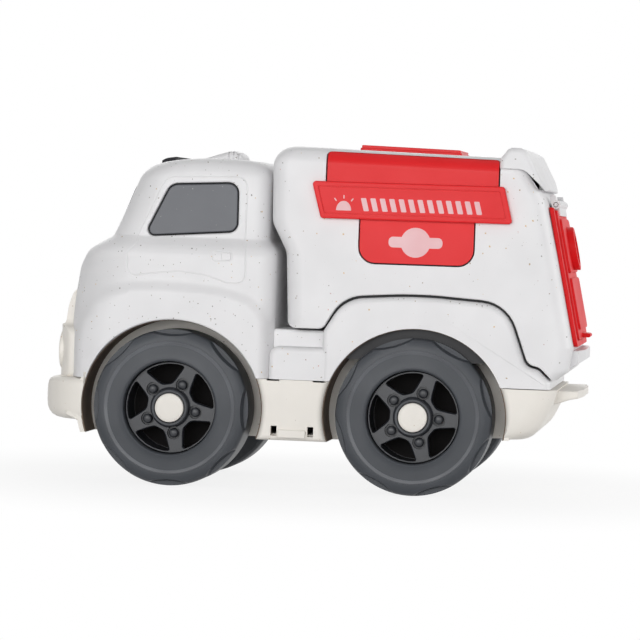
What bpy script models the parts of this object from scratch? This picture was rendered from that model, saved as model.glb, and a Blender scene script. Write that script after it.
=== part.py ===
"""Toy box truck: moulded cab and deck, tray chassis, box with a top-hinged rear door, four spoked wheels.

Metres. +X is forward, +Y is the truck's left side, +Z is up. The origin is on the ground, under the
middle of the whole length.
"""

import math

import bmesh
import bpy
from mathutils import Matrix, Vector

# Wheels and axles
TYRE_RADIUS = 0.028
TYRE_WIDTH = 0.0205
WHEEL_BASE = 0.0874
FRONT_AXLE_X = 0.049
TYRE_BORE_RADIUS = 0.0163
TYRE_SHOULDER_RADIUS = 0.0236
SCALLOPS = 8
SCALLOP_DEPTH = 0.0021
SPOKES = 5
SPOKE_WIDTH = 0.0049
SPOKE_RECESS = 0.0034
SPOKE_THICKNESS = 0.0026
RIM_WALL = 0.0015
HUB_RADIUS = 0.0065
HUB_CAP_RADIUS = 0.0051
HUB_CAP_THICKNESS = 0.0022
BOLT_CIRCLE_RADIUS = 0.00915
BOLT_RADIUS = 0.0016
AXLE_RADIUS = 0.00175
FRONT_TYRE_TURN = 0.0
FRONT_RIM_TURN = 8.5
REAR_TYRE_TURN = 28.0
REAR_RIM_TURN = 3.0

# Body and chassis
BODY_WALL = 0.0024
BODY_HALF_WIDTH = 0.044
GLASS_HALF_WIDTH = BODY_HALF_WIDTH - 0.0042
CAB_FRONT_X = 0.0889
CAB_REAR_X = 0.0130
BELT_Z = 0.0887
CAB_ROOF_Z = 0.1178
ROOF_CROWN = 3.8
ROOF_CREST_X = 0.036
BONNET_REACH = 0.0143
SCREEN_LEAN = 0.0105
SPLIT_Z = 0.0396
ARCH_RADIUS = 0.0314
ARCH_WALL = 0.0018
FENDER_SWELL = 0.0015
DECK_Z = 0.0575
DECK_HALF_WIDTH = BODY_HALF_WIDTH - 0.0015
CHASSIS_BOTTOM_Z = 0.0178
CHASSIS_WALL = 0.0022
CHASSIS_HALF_WIDTH = BODY_HALF_WIDTH + 0.0007
CLIP_WINDOW = 0.0024
TAB_REAR_X = -0.0002
TAB_FRONT_X = 0.0101
SADDLE_REACH = 0.0070
POCKET_REACH = 0.0046
SCREW_RADIUS = 0.0013
SCREW_HEAD_RADIUS = 0.0027
POST_RADIUS = 0.0036

# Box body, panels and door
BOX_FRONT_X = 0.0156
BOX_HALF_WIDTH = BODY_HALF_WIDTH + 0.001
BOX_ROOF_Z = 0.1229
BOX_FOOT_Z = 0.0430
BOX_LEAN_Z = 0.085
BOX_WALL = 0.0028
BOX_EDGE_RADIUS = 0.006
BOX_CORNER_RADIUS = 0.0065
BOX_REAR_LEAN = 0.2125
BOX_REAR_FOOT_X = -0.0933
TAIL_X = BOX_REAR_FOOT_X - 0.0049
TAIL_CORNER = 0.0006
ROOF_FALL = 0.0250
PANEL_FRONT_X = -0.0048
PANEL_REAR_X = -0.0658
PANEL_THICKNESS = 0.0016
SIGN_THICKNESS = 0.0021
DOOR_HALF_WIDTH = 0.0265
DOOR_THICKNESS = 0.0024
FRAME_THICKNESS = 0.0016
FRAME_BORDER = 0.006
DOOR_FOOT_Z = 0.0570
HINGE_Z = BOX_ROOF_Z - 0.0177
HINGE_RADIUS = 0.0016
HINGE_PIN_RADIUS = 0.0007
EAR_REACH = DOOR_HALF_WIDTH - 0.0027
KNUCKLE_REACH = EAR_REACH - 0.0038
BADGE_RADIUS = 0.0078
VISOR_THICKNESS = 0.0023
VISOR_FOOT_Z = BOX_ROOF_Z - 0.0131
DOOR_STEP = 0.0009
DOOR_CORNER = 0.003

# Fits
GAP = 0.0003
RUNNING_GAP = 0.0004
BOX_SEAM = 0.0009
TYRE_STEPS = 32
RIM_STEPS = 20
ARCH_STEPS = 28
TRIM = 0.004
CAB_LEVELS = (0.0, 0.30, 0.55, 0.72, 0.81, 0.87, 0.92, 0.96, 1.0)
ROOF_LEVELS = (0.04, 0.36, 0.68, 0.80, 0.88, 0.94, 0.98, 1.0)

REAR_AXLE_X = FRONT_AXLE_X - WHEEL_BASE
AXLE_Z = TYRE_RADIUS
WHEEL_FACE_Y = BOX_HALF_WIDTH + 0.003
WHEEL_WELL_Y = WHEEL_FACE_Y - TYRE_WIDTH - 0.0019
SADDLE_HALF_WIDTH = WHEEL_WELL_Y - 0.0056
POST_Y = WHEEL_WELL_Y - 0.0081
BEYOND_Y = WHEEL_FACE_Y + 0.012
POCKET_SPANS = ((0.0025 - SADDLE_HALF_WIDTH, -0.0012), (0.0012, SADDLE_HALF_WIDTH - 0.0025))
SIDES = (("left", 1), ("right", -1))


def clear_scene():
    for thing in list(bpy.data.objects):
        bpy.data.objects.remove(thing, do_unlink=True)


def new_collection(name):
    collection = bpy.data.collections.new(name)
    bpy.context.scene.collection.children.link(collection)
    return collection


def new_material(name, colour, roughness, metallic=0.0):
    material = bpy.data.materials.new(name)
    material.use_nodes = True
    shader = material.node_tree.nodes["Principled BSDF"]
    shader.inputs["Base Color"].default_value = (*colour, 1.0)
    shader.inputs["Roughness"].default_value = roughness
    shader.inputs["Metallic"].default_value = metallic
    return material


# Outlines: corners are (across, up, fillet radius) and come back as plain points


def rounded(corners, closed=True, steps=3):
    """Points of an outline whose corners are filleted with arcs of the given radii."""
    count = len(corners)
    points = []
    for index, (u, v, radius) in enumerate(corners):
        corner = Vector((u, v))
        if radius <= 0 or (not closed and index in (0, count - 1)):
            points.append((u, v))
            continue
        before = Vector(corners[index - 1][:2]) - corner
        after = Vector(corners[(index + 1) % count][:2]) - corner
        half = before.angle(after) / 2
        reach = min(radius / math.tan(half), 0.499 * min(before.length, after.length))
        radius = reach * math.tan(half)
        middle = corner + (before.normalized() + after.normalized()).normalized() * radius / math.sin(half)
        start = corner + before.normalized() * reach - middle
        turn = start.angle_signed(corner + after.normalized() * reach - middle)
        for step in range(steps + 1):
            arm = start.copy()
            arm.rotate(Matrix.Rotation(-turn * step / steps, 2))
            points.append(tuple(middle + arm))
    return points


def offset_corners(corners, distance):
    """The same corners moved outwards by distance; they run counter-clockwise."""
    count = len(corners)
    moved = []
    for index, (u, v, radius) in enumerate(corners):
        corner = Vector((u, v))
        inward = (corner - Vector(corners[index - 1][:2])).normalized()
        outward = (Vector(corners[(index + 1) % count][:2]) - corner).normalized()
        normal_in = Vector((inward.y, -inward.x))
        normal_out = Vector((outward.y, -outward.x))
        share = distance / max(1.0 + normal_in.dot(normal_out), 0.1)
        place = corner + (normal_in + normal_out) * share
        convex = inward.x * outward.y - inward.y * outward.x > 0
        grown = radius + (distance if convex else -distance)
        moved.append((place.x, place.y, max(grown, 0.0) if radius > 0 else 0.0))
    return moved


def at_height(path, height):
    """Where an open, rising outline is at a height."""
    for (u0, v0), (u1, v1) in zip(path, path[1:]):
        if v1 > height - 1e-7 and v1 > v0:
            return u0 + (u1 - u0) * min(1.0, max(0.0, (height - v0) / (v1 - v0)))
    return path[-1][0]


class Workshop:
    """Makes named solids and puts parts and cutters in their collections."""

    def __init__(self, name):
        self.parts = new_collection(name)
        self.cutters = new_collection("cutters")

    def solid(self, name, mesh, material=None):
        thing = bpy.data.objects.new(name, mesh)
        (self.parts if material else self.cutters).objects.link(thing)
        if material:
            mesh.materials.clear()
            mesh.materials.append(material)
        else:
            thing.hide_render = True
            thing.display_type = "WIRE"
        return thing

    def join(self, thing, other, operation, solver="EXACT"):
        tool = thing.modifiers.new(f"{operation.lower()} {other.name}", "BOOLEAN")
        tool.operation = operation
        tool.object = other
        tool.solver = solver
        return thing

    def cut(self, thing, *others):
        for other in others:
            self.join(thing, other, "DIFFERENCE")
        return thing

    def add(self, thing, *others):
        for other in others:
            self.join(thing, other, "UNION")
        return thing

    def keep(self, thing, *others):
        for other in others:
            self.join(thing, other, "INTERSECT")
        return thing

    def fewer_faces(self, thing):
        """Joins faces that lie in one plane."""
        tool = thing.modifiers.new("fewer faces", "DECIMATE")
        tool.decimate_type = "DISSOLVE"
        tool.angle_limit = math.radians(0.5)
        return thing

    def bake(self, thing):
        """The mesh that the modifiers give, with the object's own turn and place left out."""
        bpy.context.view_layer.update()
        graph = bpy.context.evaluated_depsgraph_get()
        mesh = bpy.data.meshes.new_from_object(thing.evaluated_get(graph))
        mesh.name = thing.name
        bpy.data.objects.remove(thing, do_unlink=True)
        return mesh


def tidy(mesh, smooth_angle=35.0):
    work = bmesh.new()
    work.from_mesh(mesh)
    bmesh.ops.remove_doubles(work, verts=work.verts, dist=1e-6)
    bmesh.ops.recalc_face_normals(work, faces=work.faces)
    work.to_mesh(mesh)
    work.free()
    mesh.shade_smooth()
    mesh.set_sharp_from_angle(angle=math.radians(smooth_angle))
    return mesh


AXIS_TURN = {
    "x": Matrix(((0, 0, 1), (1, 0, 0), (0, 1, 0))).to_4x4(),
    "y": Matrix(((1, 0, 0), (0, 0, -1), (0, 1, 0))).to_4x4(),
    "z": Matrix.Identity(4),
}


def plate(name, outline, low, high, axis="y", edge=0.0, edge_steps=0):
    """A flat outline given a thickness: (x, z) outlines run along y, (y, z) along x, (x, y) along z."""
    curve = bpy.data.curves.new(name, "CURVE")
    curve.dimensions = "2D"
    curve.fill_mode = "BOTH"
    curve.extrude = (high - low) / 2 - edge
    curve.bevel_depth = edge
    curve.bevel_resolution = edge_steps
    curve.offset = -edge
    spline = curve.splines.new("POLY")
    spline.points.add(len(outline) - 1)
    for point, (u, v) in zip(spline.points, outline):
        point.co = (u, v, 0.0, 1.0)
    spline.use_cyclic_u = True
    shape = bpy.data.objects.new(name, curve)
    bpy.context.scene.collection.objects.link(shape)
    bpy.context.view_layer.update()
    mesh = bpy.data.meshes.new_from_object(shape.evaluated_get(bpy.context.evaluated_depsgraph_get()))
    bpy.data.objects.remove(shape, do_unlink=True)
    middle = (low + high) / 2
    turn = AXIS_TURN[axis]
    place = {"x": (middle, 0, 0), "y": (0, middle, 0), "z": (0, 0, middle)}[axis]
    mesh.transform(Matrix.Translation(place) @ turn)
    return tidy(mesh)


def block(name, low, high):
    """A plain box between two corners."""
    work = bmesh.new()
    bmesh.ops.create_cube(work, size=1.0)
    size = Vector(high) - Vector(low)
    centre = (Vector(high) + Vector(low)) / 2
    bmesh.ops.scale(work, vec=size, verts=work.verts)
    bmesh.ops.translate(work, vec=centre, verts=work.verts)
    mesh = bpy.data.meshes.new(name)
    work.to_mesh(mesh)
    work.free()
    return mesh


def rod(name, radius, start, end, steps=16, end_radius=None):
    """A cylinder or cone between two points."""
    work = bmesh.new()
    line = Vector(end) - Vector(start)
    bmesh.ops.create_cone(
        work, cap_ends=True, segments=steps, radius1=radius,
        radius2=radius if end_radius is None else end_radius, depth=line.length,
    )
    turn = line.to_track_quat("Z", "Y").to_matrix().to_4x4()
    bmesh.ops.transform(
        work, matrix=Matrix.Translation((Vector(start) + Vector(end)) / 2) @ turn, verts=work.verts
    )
    mesh = bpy.data.meshes.new(name)
    work.to_mesh(mesh)
    work.free()
    return tidy(mesh)


def merged(name, meshes):
    """One mesh that holds several separate bodies."""
    work = bmesh.new()
    for mesh in meshes:
        work.from_mesh(mesh)
    whole = bpy.data.meshes.new(name)
    work.to_mesh(whole)
    work.free()
    return whole


def turned(name, profile, steps):
    """A profile of (radius, along) points turned about Y; it runs down its outer side, along falling."""
    mesh = bpy.data.meshes.new(name)
    rim = [(r, 0.0, a) for r, a in profile]
    closed = all(r > 1e-6 for r, _ in profile)
    edges = [(i, i + 1) for i in range(len(rim) - 1)] + ([(len(rim) - 1, 0)] if closed else [])
    mesh.from_pydata(rim, edges, [])
    shape = bpy.data.objects.new(name, mesh)
    bpy.context.scene.collection.objects.link(shape)
    screw = shape.modifiers.new("turn", "SCREW")
    screw.steps = screw.render_steps = steps
    screw.use_merge_vertices = True
    screw.merge_threshold = 1e-6
    bpy.context.view_layer.update()
    solid = bpy.data.meshes.new_from_object(shape.evaluated_get(bpy.context.evaluated_depsgraph_get()))
    bpy.data.objects.remove(shape, do_unlink=True)
    solid.transform(Matrix.Rotation(math.radians(-90.0), 4, "X"))
    return tidy(solid)


# Lofts of level, rounded rectangles, for the cab and the box


def ring(x_rear, x_front, half_width, rear_radius, front_radius, height, arc_steps=4, side_steps=1):
    """A level rounded rectangle whose points mirror each other across the middle."""
    left = []
    arcs = ((x_front, front_radius, 0), (x_rear, rear_radius, 1))
    for x, radius, quarter in arcs:
        inward = x - radius if quarter == 0 else x + radius
        for step in range(arc_steps + 1):
            angle = math.pi / 2 * (quarter + step / arc_steps)
            left.append((inward + radius * math.cos(angle), half_width - radius * (1 - math.sin(angle))))
        if quarter == 0:
            first, last = x_front - front_radius, x_rear + rear_radius
            for step in range(1, side_steps):
                left.append((first + (last - first) * step / side_steps, half_width))
    right = [(x, -y) for x, y in reversed(left)]
    return [(x, y, height) for x, y in left + right]


def loft(name, rings):
    """Walls between successive rings, closed at both ends by strips from side to side."""
    count = len(rings[0])
    faces = []
    for level in range(len(rings) - 1):
        low, high = level * count, (level + 1) * count
        for j in range(count):
            k = (j + 1) % count
            faces.append((low + j, low + k, high + k, high + j))
    top = (len(rings) - 1) * count
    for j in range(count // 2 - 1):
        faces.append((top + j, top + j + 1, top + count - 2 - j, top + count - 1 - j))
        faces.append((j + 1, j, count - 1 - j, count - 2 - j))
    mesh = bpy.data.meshes.new(name)
    mesh.from_pydata([point for one in rings for point in one], [], faces)
    return tidy(mesh)


# Cab and deck


def cab_solid(name, inset=0.0, foot_z=SPLIT_Z, from_z=None, fine=True):
    """The cab's outer form, or the same form drawn inwards by inset, with fewer facets when not fine."""
    roof_front_x = CAB_FRONT_X - BONNET_REACH - SCREEN_LEAN
    front = rounded([
        (CAB_FRONT_X - 0.0003, SPLIT_Z, 0), (CAB_FRONT_X, 0.0812, 0.012),
        (CAB_FRONT_X - BONNET_REACH, BELT_Z, 0.001), (roof_front_x, CAB_ROOF_Z, 0.008),
        (ROOF_CREST_X, CAB_ROOF_Z, 0),
    ], closed=False)
    side = rounded([
        (BODY_HALF_WIDTH, SPLIT_Z, 0), (BODY_HALF_WIDTH, BELT_Z - 0.0045, 0.008),
        (GLASS_HALF_WIDTH, BELT_Z + 0.0003, 0.001), (GLASS_HALF_WIDTH - 0.0033, CAB_ROOF_Z, 0.007),
        (0.0, CAB_ROOF_Z, 0),
    ], closed=False)
    rear = rounded([
        (CAB_REAR_X, SPLIT_Z, 0), (CAB_REAR_X, BELT_Z - 0.004, 0.006),
        (CAB_REAR_X + 0.0034, BELT_Z, 0.001), (CAB_REAR_X + 0.0036, CAB_ROOF_Z, 0.005),
        (ROOF_CREST_X, CAB_ROOF_Z, 0),
    ], closed=False)
    heights = [SPLIT_Z + (BELT_Z - SPLIT_Z) * share for share in CAB_LEVELS]
    heights += [BELT_Z + (CAB_ROOF_Z - BELT_Z) * share for share in ROOF_LEVELS]
    if not fine:
        heights = heights[:-1:2] + heights[-1:]
    if from_z is not None:
        heights = [height for height in heights if height >= from_z]
    rings = []
    for height in heights:
        above = max(0.0, (height - BELT_Z) / (CAB_ROOF_Z - BELT_Z))
        below = 1.0 - min(1.0, (height - SPLIT_Z) / (BELT_Z - SPLIT_Z))
        points = ring(
            at_height(rear, height) + inset, at_height(front, height) - inset,
            at_height(side, height) - inset, max(0.006 - inset, 0.001),
            max(0.012 + 0.004 * below - inset, 0.001), height, arc_steps=4 if fine else 3, side_steps=3,
        )
        rings.append([
            (x, y, z - inset * above - ROOF_CROWN * above * (x - ROOF_CREST_X) ** 2) for x, y, z in points
        ])
    if foot_z < SPLIT_Z:
        rings.insert(0, [(x, y, foot_z) for x, y, _ in rings[0]])
    return loft(name, rings)


def fender_corners():
    """The soft step round the front wheel arch."""
    return [
        (0.0135, SPLIT_Z - 0.7 * TRIM, 0), (0.0850, SPLIT_Z - 0.7 * TRIM, 0), (0.0862, 0.0590, 0.015),
        (0.0690, 0.0730, 0.022), (0.0285, 0.0730, 0.020), (0.0133, 0.0655, 0.010),
    ]


def hump_corners(foot_z=SPLIT_Z):
    """The raised deck over the rear wheels, as the box's lower edge goes round it."""
    return [
        (-0.0040, foot_z, 0), (-0.0040, DECK_Z, 0.004), (-0.0118, 0.0700, 0.014),
        (-0.0380, 0.0719, 0.150), (-0.0705, 0.0698, 0.014), (-0.0783, 0.0483, 0.004),
        (-0.0825, 0.0473, 0.004), (-0.0872, 0.0428, 0.003), (-0.0877, foot_z, 0),
    ]


def side_window_corners():
    return [
        (0.0620, 0.0890, 0.0024), (0.0529, 0.1082, 0.0042), (0.0280, 0.1094, 0.0036),
        (0.0276, 0.0915, 0.0035),
    ]


def windscreen_corners():
    foot, head = GLASS_HALF_WIDTH - 0.0098, GLASS_HALF_WIDTH - 0.0133
    return [(-foot, 0.0918, 0.003), (foot, 0.0918, 0.003), (head, 0.1085, 0.004), (-head, 0.1085, 0.004)]


def window_cutters(shop, shrink=0.0, tag="opening"):
    side = rounded(offset_corners(side_window_corners(), -shrink))
    front = rounded(offset_corners(windscreen_corners(), -shrink))
    return [
        shop.solid(f"side window {tag}", plate("side window", side, -BEYOND_Y, BEYOND_Y)),
        shop.solid(f"windscreen {tag}", plate("windscreen", front, 0.058, 0.095, axis="x")),
    ]


def post_places():
    """Screw posts (x, y, top): one pair under the deck, one pair under the hump."""
    pairs = ((CAB_REAR_X - 0.0005, DECK_Z - 0.0012), (REAR_AXLE_X - 0.0190, 0.0680))
    return [(x, side * POST_Y, top_z) for x, top_z in pairs for _, side in SIDES]


def cab_body(shop, white):
    """White moulding: a hollow cab with its swelling front fenders, the deck and the rear hump."""
    body = shop.solid("cab_body", cab_solid("cab_body", foot_z=SPLIT_Z - TRIM), white)
    deck = block("deck", (-0.0080, -DECK_HALF_WIDTH, SPLIT_Z - 0.8 * TRIM),
                 (CAB_REAR_X + 0.004, DECK_HALF_WIDTH, DECK_Z))
    hump = plate(
        "hump", rounded(offset_corners(hump_corners(SPLIT_Z - 0.9 * TRIM), -BOX_SEAM)),
        -BOX_HALF_WIDTH, BOX_HALF_WIDTH, edge=0.0008,
    )
    pad_outline = rounded([
        (-0.0070, 0.0406, 0), (0.0137, 0.0406, 0.0015), (0.0137, 0.0509, 0.002), (-0.0070, 0.0509, 0)
    ])
    pad = plate("side pad", pad_outline, -BODY_HALF_WIDTH - 0.0004, BODY_HALF_WIDTH + 0.0004, edge=0.0008)
    half_width = BODY_HALF_WIDTH + FENDER_SWELL
    swell = plate("fender swell", rounded(fender_corners(), steps=5), -half_width, half_width, edge=0.0014,
                  edge_steps=1)
    shop.add(body, *[shop.solid(mesh.name, mesh) for mesh in (deck, hump, pad, swell)])

    low = SPLIT_Z - 2 * TRIM
    inner_cab = shop.solid("cab hollow", cab_solid("cab hollow", inset=BODY_WALL, foot_z=low, fine=False))
    inner_deck = shop.solid("deck hollow", block(
        "deck hollow", (-0.0120, -DECK_HALF_WIDTH + BODY_WALL, low - 0.2 * TRIM),
        (CAB_REAR_X + 0.006, DECK_HALF_WIDTH - BODY_WALL, DECK_Z - BODY_WALL),
    ))
    hollow_outline = rounded(offset_corners(hump_corners(low - TRIM), -BOX_SEAM - BODY_WALL))
    inner_hump = shop.solid("hump hollow", plate(
        "hump hollow", hollow_outline, BODY_WALL - BOX_HALF_WIDTH, BOX_HALF_WIDTH - BODY_WALL
    ))
    shop.add(inner_cab, inner_deck, inner_hump)
    shop.cut(body, inner_cab)

    arches = [
        rod("arch", ARCH_RADIUS, (x, -BEYOND_Y, AXLE_Z), (x, BEYOND_Y, AXLE_Z), steps=ARCH_STEPS)
        for x in (FRONT_AXLE_X, REAR_AXLE_X)
    ]
    below = block("below the split", (-0.12, -BEYOND_Y, SPLIT_Z - 4 * TRIM), (0.12, BEYOND_Y, SPLIT_Z))
    shop.cut(body, shop.solid("below the split", below))
    shop.cut(body, shop.solid("wheel arches", merged("wheel arches", arches)), *window_cutters(shop))

    posts, pilots = [], []
    floor_z = CHASSIS_BOTTOM_Z + CHASSIS_WALL + GAP
    for x, y, top_z in post_places():
        posts.append(rod("post", POST_RADIUS, (x, y, floor_z), (x, y, top_z), steps=12))
        pilots.append(rod("pilot", SCREW_RADIUS + GAP, (x, y, floor_z - 0.001), (x, y, floor_z + 0.011),
                          steps=8))
    shop.add(body, shop.solid("screw posts", merged("screw posts", posts)))
    shop.cut(body, shop.solid("screw pilots", merged("screw pilots", pilots)))
    return body


def cab_glazing(shop, dark):
    """Dark moulding inside the cab: a collar along the walls, with panes that fill the windows."""
    sunk = 0.0009
    collar_gap = BODY_WALL + GAP
    panes = shop.solid("cab_glazing", cab_solid("panes", inset=sunk, from_z=BELT_Z - 0.01), dark)
    side, front = window_cutters(shop, shrink=GAP, tag="pane")
    shop.add(side, front)
    shop.keep(panes, side)
    collar = shop.solid("collar", cab_solid("collar", inset=collar_gap, from_z=BELT_Z, fine=False))
    lid = shop.solid("above the collar", block("lid", (-0.05, -BEYOND_Y, 0.1115), (0.12, BEYOND_Y, 0.14)))
    shop.join(collar, lid, "DIFFERENCE", solver="MANIFOLD")
    shop.add(panes, collar)
    hollow = cab_solid("collar hollow", inset=collar_gap + 0.0016, foot_z=0.080, from_z=BELT_Z, fine=False)
    shop.cut(panes, shop.solid("collar hollow", hollow))
    return panes


def roof_top_z(x):
    return CAB_ROOF_Z - ROOF_CROWN * (x - ROOF_CREST_X) ** 2


def roof_strip(shop, dark):
    """Dark marker strip across the front of the cab roof."""
    rear_x, front_x, height, steps = 0.0466, 0.0585, 0.0013, 4
    xs = [rear_x + (front_x - rear_x) * step / steps for step in range(steps + 1)]
    low = [(x, roof_top_z(x) + GAP) for x in xs]
    high = [(x - 0.0012 * (x == front_x), roof_top_z(x) + height) for x in reversed(xs)]
    half_width = GLASS_HALF_WIDTH - 0.0198
    return shop.solid("roof_strip", plate("roof_strip", low + high, -half_width, half_width), dark)


def roof_fairing(shop, white):
    """White wedge on the cab roof that rises rearwards, with two grooves across its back."""
    rear_x, crest_x, front_x, crest_z = 0.0264, 0.0334, 0.0458, CAB_ROOF_Z + 0.0035
    half_width = GLASS_HALF_WIDTH - 0.0253
    xs = [rear_x + (front_x - rear_x) * step / 5 for step in range(6)]
    foot = [(x, roof_top_z(x) + GAP, 0) for x in xs]
    corners = foot + [(crest_x, crest_z, 0.004), (rear_x + 0.0014, crest_z - 0.0010, 0.0010)]
    form = plate("roof_fairing", rounded(corners), -half_width, half_width)
    wedge = shop.solid("roof_fairing", form, white)
    grooves = [
        block("groove", (x, -BEYOND_Y, crest_z - 0.0016), (x + 0.0006, BEYOND_Y, crest_z + 0.002))
        for x in (0.0290, 0.0312)
    ]
    shop.cut(wedge, shop.solid("roof grooves", merged("roof grooves", grooves)))
    return wedge


def front_grille(shop, cream):
    """Cream grille panel: four slots above a wider lamp band with two round lamps."""
    back_x = CAB_FRONT_X + GAP + 0.0002
    wide, narrow, slot_reach = BODY_HALF_WIDTH - 0.0085, BODY_HALF_WIDTH - 0.0150, BODY_HALF_WIDTH - 0.0225
    profile = rounded([
        (back_x, 0.0382, 0), (0.0942, 0.0382, 0.001), (0.0950, 0.0460, 0.003), (0.0934, 0.0540, 0.004),
        (0.0927, 0.0620, 0.006), (0.0915, 0.0680, 0.003), (back_x, 0.0706, 0),
    ])
    face = rounded([
        (-wide, 0.0382, 0.003), (wide, 0.0382, 0.003), (wide, 0.0545, 0.006), (narrow, 0.0560, 0.003),
        (narrow - 0.0025, 0.0710, 0.005), (0.0025 - narrow, 0.0710, 0.005), (-narrow, 0.0560, 0.003),
        (-wide, 0.0545, 0.006),
    ])
    grille = shop.solid("front_grille", plate("front_grille", profile, -wide, wide), cream)
    shop.keep(grille, shop.solid("grille face", plate("grille face", face, 0.08, 0.11, axis="x")))
    slots = []
    for row in range(4):
        z = 0.0572 + 0.0031 * row
        slots.append(block("slot", (0.0915 - 0.0002 * row, -slot_reach, z), (0.10, slot_reach, z + 0.0016)))
    shop.cut(grille, shop.solid("grille slots", merged("grille slots", slots)))
    lamps = [
        rod("lamp", 0.0068, (0.0920, y, 0.0462), (0.0958, y, 0.0462), steps=24, end_radius=0.0058)
        for y in (0.0110 - wide, wide - 0.0110)
    ]
    shop.add(grille, shop.solid("lamp domes", merged("lamp domes", lamps)))
    return grille


def front_bumper(shop, cream):
    """Cream bumper that wraps round the front corners."""
    rear_x = FRONT_AXLE_X + ARCH_RADIUS + ARCH_WALL + GAP
    levels = (
        (0.0205, 0.0862, 0.0065), (0.0216, 0.0925, 0.0035), (0.0232, 0.0958, 0.0016),
        (0.0260, 0.0976, 0.0006), (0.0300, 0.0982, 0.0002), (0.0335, 0.0977, 0.0005),
        (0.0355, 0.0958, 0.0013), (0.0366, 0.0932, 0.0025), (0.0370, 0.0900, 0.0040),
    )
    rings = [
        ring(rear_x, front_x, BODY_HALF_WIDTH - drawn_in, 0.0010, min(0.0130, front_x - rear_x - 0.0012), z,
             side_steps=2)
        for z, front_x, drawn_in in levels
    ]
    return shop.solid("front_bumper", loft("front_bumper", rings), cream)


# Chassis and running gear


def tray_corners():
    """Side outline of the chassis tray, counter-clockwise."""
    front_x = FRONT_AXLE_X + ARCH_RADIUS + ARCH_WALL
    return [
        (front_x, SPLIT_Z - GAP, 0), (-0.0880, SPLIT_Z - GAP, 0), (-0.0865, 0.0320, 0.010),
        (-0.0800, 0.0212, 0.009), (-0.0665, 0.0212, 0.002), (-0.0650, CHASSIS_BOTTOM_Z, 0.002),
        (front_x - 0.004, CHASSIS_BOTTOM_Z, 0.002), (front_x, 0.0215, 0.002),
    ]


def well_outline(radius, foot_z):
    """A round arch that stands on a level line."""
    drop = math.asin((AXLE_Z - foot_z) / radius)
    steps = ARCH_STEPS // 2
    angles = [-drop + (math.pi + 2 * drop) * step / steps for step in range(steps + 1)]
    return [(radius * math.cos(angle), AXLE_Z + radius * math.sin(angle)) for angle in angles]


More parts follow.
